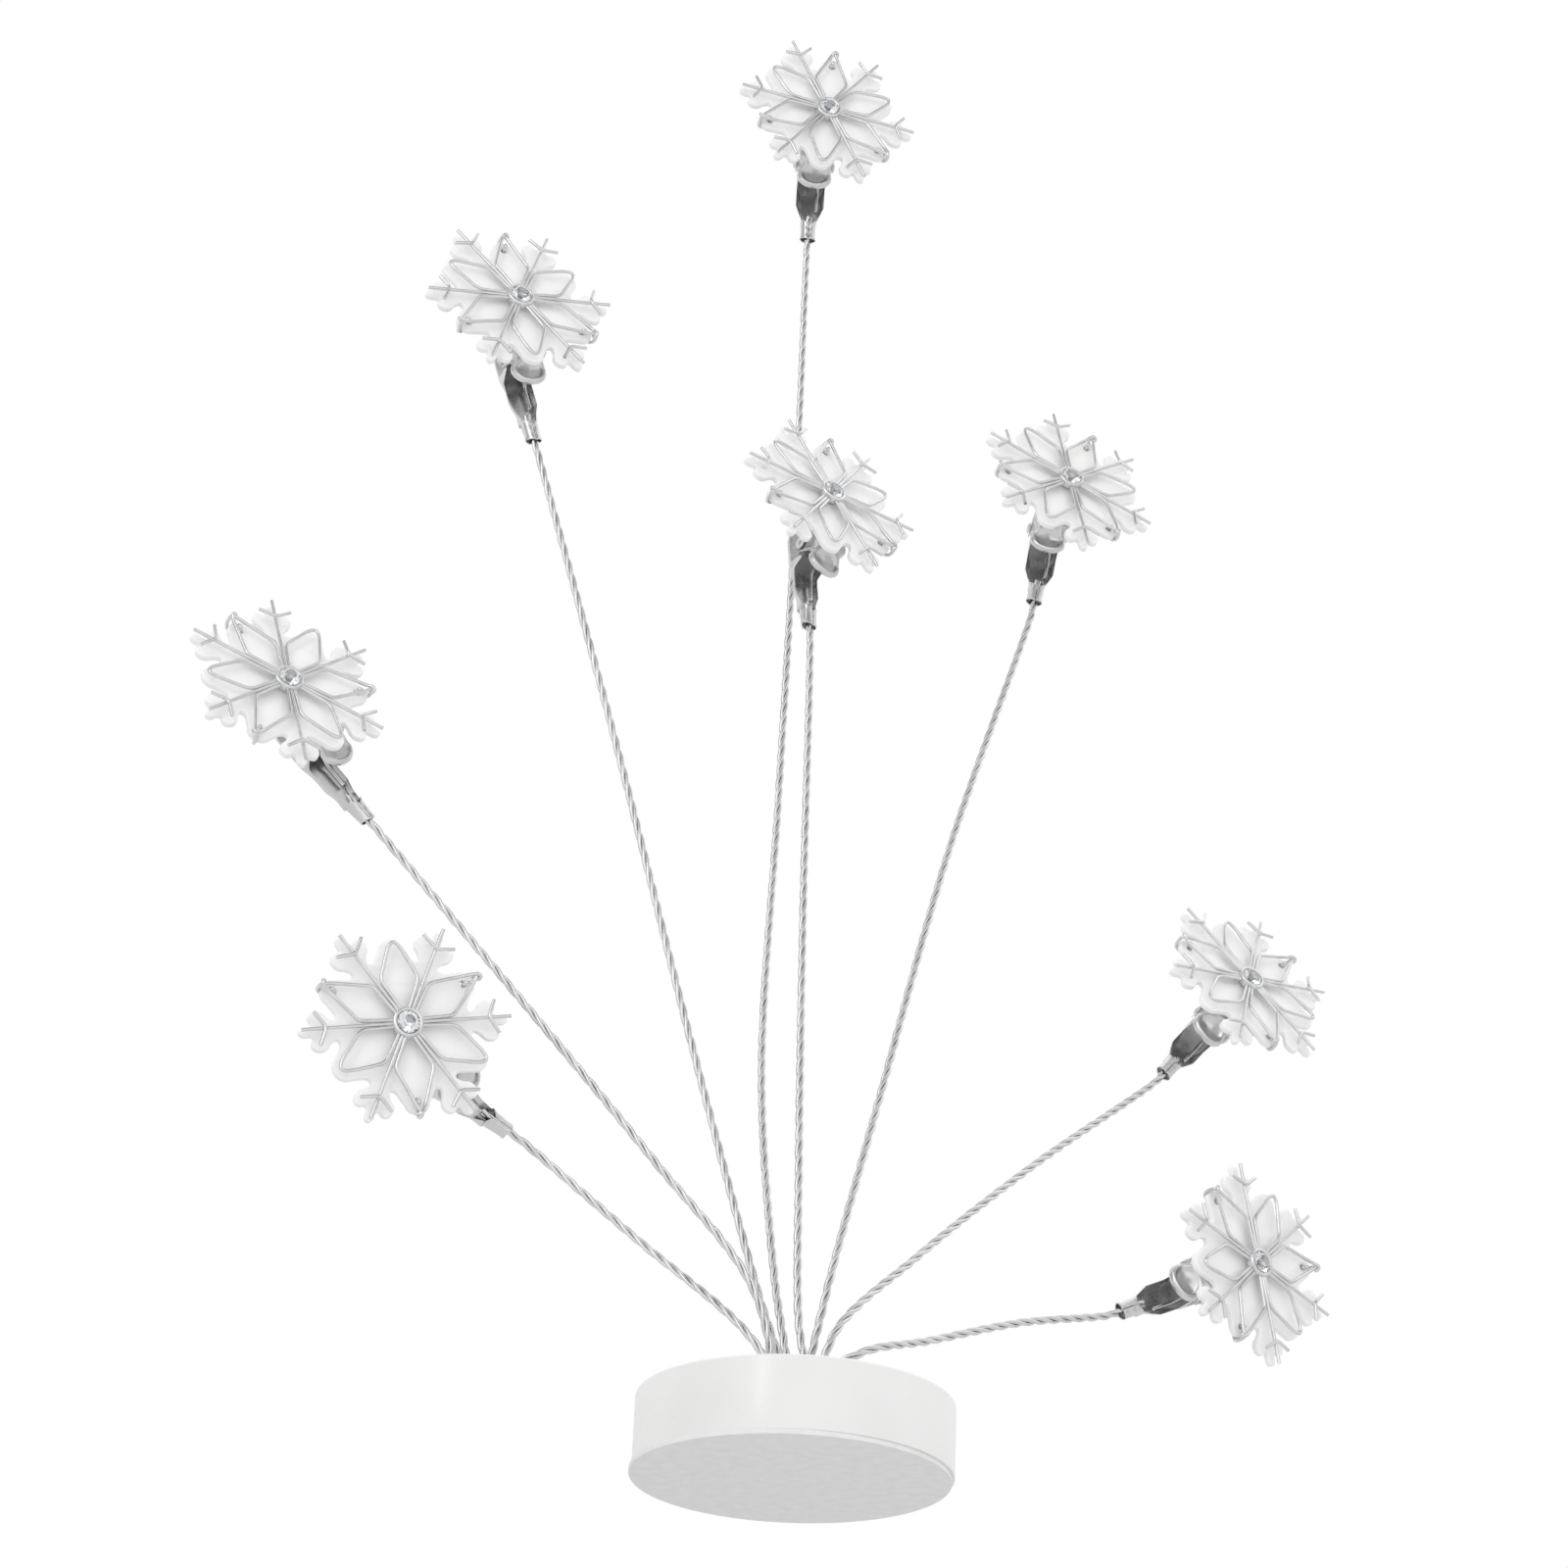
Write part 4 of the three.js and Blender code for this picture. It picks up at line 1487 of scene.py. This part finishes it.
    def hooked_petal(self, grown: float) -> list[list[Vector]]:
        """A petal whose two ends tie the wire to the backing.

        One end goes round the backing's edge, under it and up through the tie hole, and the other curls
        round the first at the tip.

        Args:
            grown: How much longer it is than drawn.

        Returns:
            The lines of its two ends.
        """
        length = self.hooked_length + grown
        under = -self.backing_thickness - self.wire_radius - self.tie_gap
        tie = [
            Vector((length - 0.05, 0.05, self.standoff + 0.1)),
            Vector((length + 0.2, 0.2, self.standoff * 0.3)),
            Vector((length + 0.1, 0.3, under * 0.6)),
            Vector((length - 0.9, 0.3, under)),
            Vector((self.tie_hole + 0.4, 0.15, under)),
            Vector((self.tie_hole, 0.05, under * 0.6)),
            Vector((self.tie_hole - 0.05, 0.0, self.standoff * 0.55)),
            Vector((self.tie_hole + 0.45, -0.15, self.standoff * 0.75)),
            Vector((self.tie_hole + 0.95, -0.25, self.standoff * 0.45)),
        ]
        curl = [
            Vector((length - 0.2, 0.1, self.standoff + 0.5)),
            Vector((length + 0.15, -0.5, self.standoff + 0.45)),
            Vector((length - 0.1, -0.95, self.standoff)),
            Vector((length - 0.5, -0.85, self.standoff - 0.45)),
        ]
        left = [*self.petal_side(-1, length, self.hooked_tip_half), *tie]
        right = [*self.petal_side(1, length, self.hooked_tip_half), *curl]
        return [filleted(line, self.hooked_bend, self.hooked_steps) for line in (left, right)]

    def barb(self, turned_deg: float) -> list[Vector]:
        """A bent barb that lies over its arm, turned a little as it was soldered.

        Args:
            turned_deg: How far it is turned.

        Returns:
            The barb's line.
        """
        middle = Vector((self.barb_start, 0, self.standoff + self.barb_lift * self.wire_radius))
        ends = []
        for side in (-1, 1):
            turn = math.radians(self.barb_deg * side + turned_deg)
            reach = Vector((math.cos(turn), math.sin(turn), -self.barb_droop)) * self.barb_length
            ends.append(middle + reach)
        return filleted([ends[0], middle, ends[1]], self.barb_bend)

    def solder(self) -> bmesh.types.BMesh:
        """A bead of solder where each barb crosses its arm.

        Returns:
            The beads.
        """
        bm = bmesh.new()
        spot = (self.barb_start + self.solder_shift, 0, self.standoff + self.solder_lift)
        bead = Matrix.Translation(spot) @ Matrix.Diagonal((*self.solder_stretch, 1))
        for k in range(self.arms):
            place = Matrix.Rotation(math.radians(self.arm_deg * k), 4, "Z") @ bead
            bmesh.ops.create_icosphere(bm, subdivisions=2, radius=self.solder_radius, matrix=place)
        return bm

    def bezel(self) -> bmesh.types.BMesh:
        """The cup round the stone, with a rolled rim.

        Returns:
            The cup.
        """
        rim = self.standoff + self.bezel_rim
        outer, inner = self.bezel_radius, self.stone_radius - self.bezel_lap
        bulge = (outer - inner) / 2
        middle = inner + bulge
        roll = [
            (middle + bulge * math.cos(t), rim - bulge + bulge * math.sin(t))
            for t in (0, 0.5, 1.0, 1.57, 2.1, 2.6, math.pi)
        ]
        profile = [
            (0, 0.1), (self.stone_radius, 0.1), (self.stone_radius + 0.4, 0.45), (outer - 0.06, 0.9), *roll,
            (inner, rim - 0.9), (inner * 0.5, 0.4), (0, 0.25),
        ]
        return turned(profile, self.bezel_steps)

    def stone(self) -> bmesh.types.BMesh:
        """A cut stone: a flat table, two rows of crown facets, a thin girdle and a pointed back.

        Returns:
            The stone.
        """
        girdle = self.standoff + self.bezel_rim - self.stone_sink
        rings = (
            (8, 0.0, self.stone_table, self.stone_crown),
            (8, 0.5, self.stone_radius * 0.78, self.stone_crown * 0.6),
            (16, 0.0, self.stone_radius, self.girdle_half),
            (16, 0.0, self.stone_radius, -self.girdle_half),
            (8, 0.5, self.stone_radius * 0.5, -self.stone_depth * 0.56),
        )
        bm = bmesh.new()
        bm.verts.new((0, 0, girdle - self.stone_depth))
        for count, shift, radius, height in rings:
            for i in range(count):
                turn = math.tau * (i + shift) / count
                bm.verts.new((radius * math.cos(turn), radius * math.sin(turn), girdle + height))
        bmesh.ops.convex_hull(bm, input=bm.verts[:])
        bmesh.ops.recalc_face_normals(bm, faces=bm.faces[:])
        return bm

    def glue(self) -> bmesh.types.BMesh:
        """A flat bead of glue between the jaw's back and the backing.

        Returns:
            The bead.
        """
        lean = math.radians(abs(self.unit.lean))
        depth = self.backing_gap / 2 + self.clip.ear_half * math.sin(lean) / 2 + self.glue_depth
        spot = (-self.glue_back, 0, self.backing_gap - depth + self.glue_lift)
        place = Matrix.Translation(spot) @ Matrix.Diagonal((*self.glue_half, depth, 1))
        bm = bmesh.new()
        bmesh.ops.create_uvsphere(bm, u_segments=24, v_segments=12, radius=1.0, matrix=place)
        return bm

    def build(self) -> None:
        """Make the snowflake's pieces."""
        number, body = self.unit.number, self.unit.jaw
        front = self.spun(self.backing_gap + self.backing_thickness)
        node = f"wire_snowflake_{number}"
        name = f"flake_{number}_backing"
        backing = placed(name, self.backing(), self.spun(self.backing_gap), self.backing_crease_deg)
        install(name, backing, FrostedSheet(), Slot.BACKING_SHEET, body, f"snowflake_backing_{number}")
        name = f"flake_{number}_wires"
        shape = self.wires()
        merge(shape, self.solder())
        wires = placed(name, shape, front, WIRE_CREASE_DEG)
        install(name, wires, FLAKE_WIRE, Slot.FLAKE_WIRE, body, node)
        name = f"flake_{number}_bezel"
        install(name, placed(name, self.bezel(), front), CUP_SILVER, Slot.FLAKE_WIRE, body, node)
        name = f"flake_{number}_stone"
        stone = placed(name, self.stone(), front, self.facet_crease_deg)
        install(name, stone, CutStone(), None, body, node)
        name = f"flake_{number}_glue"
        install(name, placed(name, self.glue(), self.place()), Glue(), None, body)


# The studio


@dataclass(frozen=True)
class PhotoCamera:
    """The camera at the photograph's place, in millimetres and degrees.

    The frame is in pixels, and how near and how far it sees is in metres.
    """

    spot: Triple = (-7.0, -709.6, -199.5)
    pitch_deg: float = 25.76
    roll_deg: float = 2.39
    focal_pixels: float = 4000.0
    frame_pixels: float = 1600.0
    sensor: float = 36.0
    nearest: float = 0.01
    farthest: float = 20.0

    def build(self) -> None:
        """Make the camera and give it to the scene."""
        data = bpy.data.cameras.new("photo_camera")
        data.sensor_width = self.sensor
        data.lens = self.sensor * self.focal_pixels / self.frame_pixels
        data.clip_start = self.nearest
        data.clip_end = self.farthest
        camera = bpy.data.objects.new("photo_camera", data)
        bpy.context.scene.collection.objects.link(camera)
        turn = Matrix.Rotation(math.pi / 2 + math.radians(self.pitch_deg), 4, "X")
        roll = Matrix.Rotation(math.radians(self.roll_deg), 4, "Z")
        camera.matrix_world = Matrix.Translation(TO_METRES @ Vector(self.spot)) @ turn @ roll
        bpy.context.scene.camera = camera


@dataclass(frozen=True)
class Card:
    """A light or dark card as the metal mirrors it.

    Its strength is whole inside one angle from its direction and fades to nothing at a wider one.
    """

    towards: Triple
    full_deg: float
    fade_deg: float
    strength: float


@dataclass(frozen=True)
class Studio:
    """A white room with cards that show in the metal, a key light and a pale floor, in metres."""

    cards: tuple[Card, ...] = (
        Card((-0.95, -0.25, -0.05), 35, 80, 0.22),
        Card((0.05, -0.93, -0.30), 28, 62, 0.45),
        Card((0.25, 0.35, 0.90), 25, 55, 0.40),
        Card((0.12, -0.50, 0.86), 18, 36, -0.45),
        Card((-0.87, -0.25, 0.42), 14, 30, -0.60),
    )
    room: float = 0.86
    white: float = 1.0
    soft_side: Triple = (0.25, -0.45, 0.85)
    soft_range: Pair = (-0.6, 0.5)
    soft_light: Pair = (0.74, 1.06)
    key_size: Pair = (0.14, 1.0)
    key_watts: float = 1.8
    key_spot: Triple = (-0.55, -1.15, 0.8)
    key_aim: Triple = (0.0, 0.0, 0.15)
    floor_half: float = 3.0
    floor_drop: float = 0.0003
    floor_low: Triple = (0.80, 0.80, 0.80)
    floor_high: Triple = (0.83, 0.83, 0.83)
    floor_rough: Pair = (0.7, 0.85)
    floor_clouds: float = 3.0

    def facing(
        self, tree: bpy.types.NodeTree, where: bpy.types.NodeSocket, towards: Triple
    ) -> bpy.types.NodeSocket:
        """How much a direction agrees with another one, from -1 to 1.

        Args:
            tree: The node tree.
            where: The direction, from a node.
            towards: The other direction.

        Returns:
            The agreement, as a node's output.
        """
        dot = add_node(tree, "ShaderNodeVectorMath", {0: where, 1: Vector(towards).normalized()})
        dot.operation = "DOT_PRODUCT"
        return dot.outputs["Value"]

    def world(self) -> None:
        """White to the eye and for soft light, with the cards in a bright room for mirrors and glass."""
        world = bpy.data.worlds.new("studio")
        bpy.context.scene.world = world
        world.use_nodes = True
        world.cycles.sampling_method = "NONE"
        tree = world.node_tree
        where = add_node(tree, "ShaderNodeTexCoord", {}).outputs["Generated"]
        total = self.room
        for card in self.cards:
            glow = add_node(tree, "ShaderNodeMapRange", {
                "Value": self.facing(tree, where, card.towards),
                "From Min": math.cos(math.radians(card.fade_deg)),
                "From Max": math.cos(math.radians(card.full_deg)),
                "To Max": card.strength,
            })
            glow.interpolation_type = "SMOOTHSTEP"
            added = add_node(tree, "ShaderNodeMath", {0: total, 1: glow.outputs["Result"]})
            added.operation = "ADD"
            total = added.outputs["Value"]
        soft = add_node(tree, "ShaderNodeMapRange", {
            "Value": self.facing(tree, where, self.soft_side),
            "From Min": self.soft_range[0],
            "From Max": self.soft_range[1],
            "To Min": self.soft_light[0],
            "To Max": self.soft_light[1],
        }).outputs["Result"]
        path = add_node(tree, "ShaderNodeLightPath", {})
        light = add_node(tree, "ShaderNodeMix", {0: path.outputs["Is Diffuse Ray"], 2: total, 3: soft})
        seen = add_node(tree, "ShaderNodeMix", {
            0: path.outputs["Is Camera Ray"], 2: light.outputs[0], 3: self.white,
        })
        background = tree.nodes["Background"]
        background.inputs["Color"].default_value = (1, 1, 1, 1)
        tree.links.new(seen.outputs[0], background.inputs["Strength"])

    def lights(self) -> None:
        """A tall strip as the key light, in front, above and a little to the left."""
        data = bpy.data.lights.new("key", "AREA")
        data.shape = "RECTANGLE"
        data.size, data.size_y = self.key_size
        data.energy = self.key_watts
        key = bpy.data.objects.new("key", data)
        bpy.context.scene.collection.objects.link(key)
        spot = Vector(self.key_spot)
        aim = (Vector(self.key_aim) - spot).to_track_quat("-Z", "Y")
        key.matrix_world = Matrix.Translation(spot) @ aim.to_matrix().to_4x4()

    def floor(self) -> None:
        """A pale floor, which is seen from above only, because the photograph looks up past it."""
        bm = bmesh.new()
        place = Matrix.Translation((0, 0, -self.floor_drop))
        bmesh.ops.create_grid(bm, x_segments=1, y_segments=1, size=self.floor_half, matrix=place)
        mesh = bpy.data.meshes.new("floor")
        bm.to_mesh(mesh)
        bm.free()
        board = Board("pale_floor")
        clouds = board.noise(self.floor_clouds)
        board.colour(clouds, self.floor_low, self.floor_high)
        board.roughness(clouds, *self.floor_rough)
        side = add_node(board.tree, "ShaderNodeNewGeometry", {})
        clear = add_node(board.tree, "ShaderNodeBsdfTransparent", {})
        either = add_node(board.tree, "ShaderNodeMixShader", {
            0: side.outputs["Backfacing"], 1: board.shader.outputs["BSDF"], 2: clear.outputs["BSDF"],
        })
        output = board.tree.nodes["Material Output"]
        board.tree.links.new(either.outputs["Shader"], output.inputs["Surface"])
        mesh.materials.append(board.material)
        floor = bpy.data.objects.new("floor", mesh)
        bpy.context.scene.collection.objects.link(floor)
        floor.visible_shadow = False
        floor.visible_diffuse = False

    def build(self) -> None:
        """Make the world, the light and the floor."""
        bpy.context.scene.view_settings.view_transform = "Standard"
        self.world()
        self.lights()
        self.floor()


def main() -> None:
    """Build the camera, the studio and every piece, in order."""
    logging.basicConfig(level=logging.INFO, format="%(message)s")
    PhotoCamera().build()
    Studio().build()
    foot = Foot()
    foot.build()
    for unit in UNITS:
        Stem(unit, foot).build()
        clip = Clip(unit)
        clip.build()
        Snowflake(clip).build()


if __name__ == "__main__":
    main()
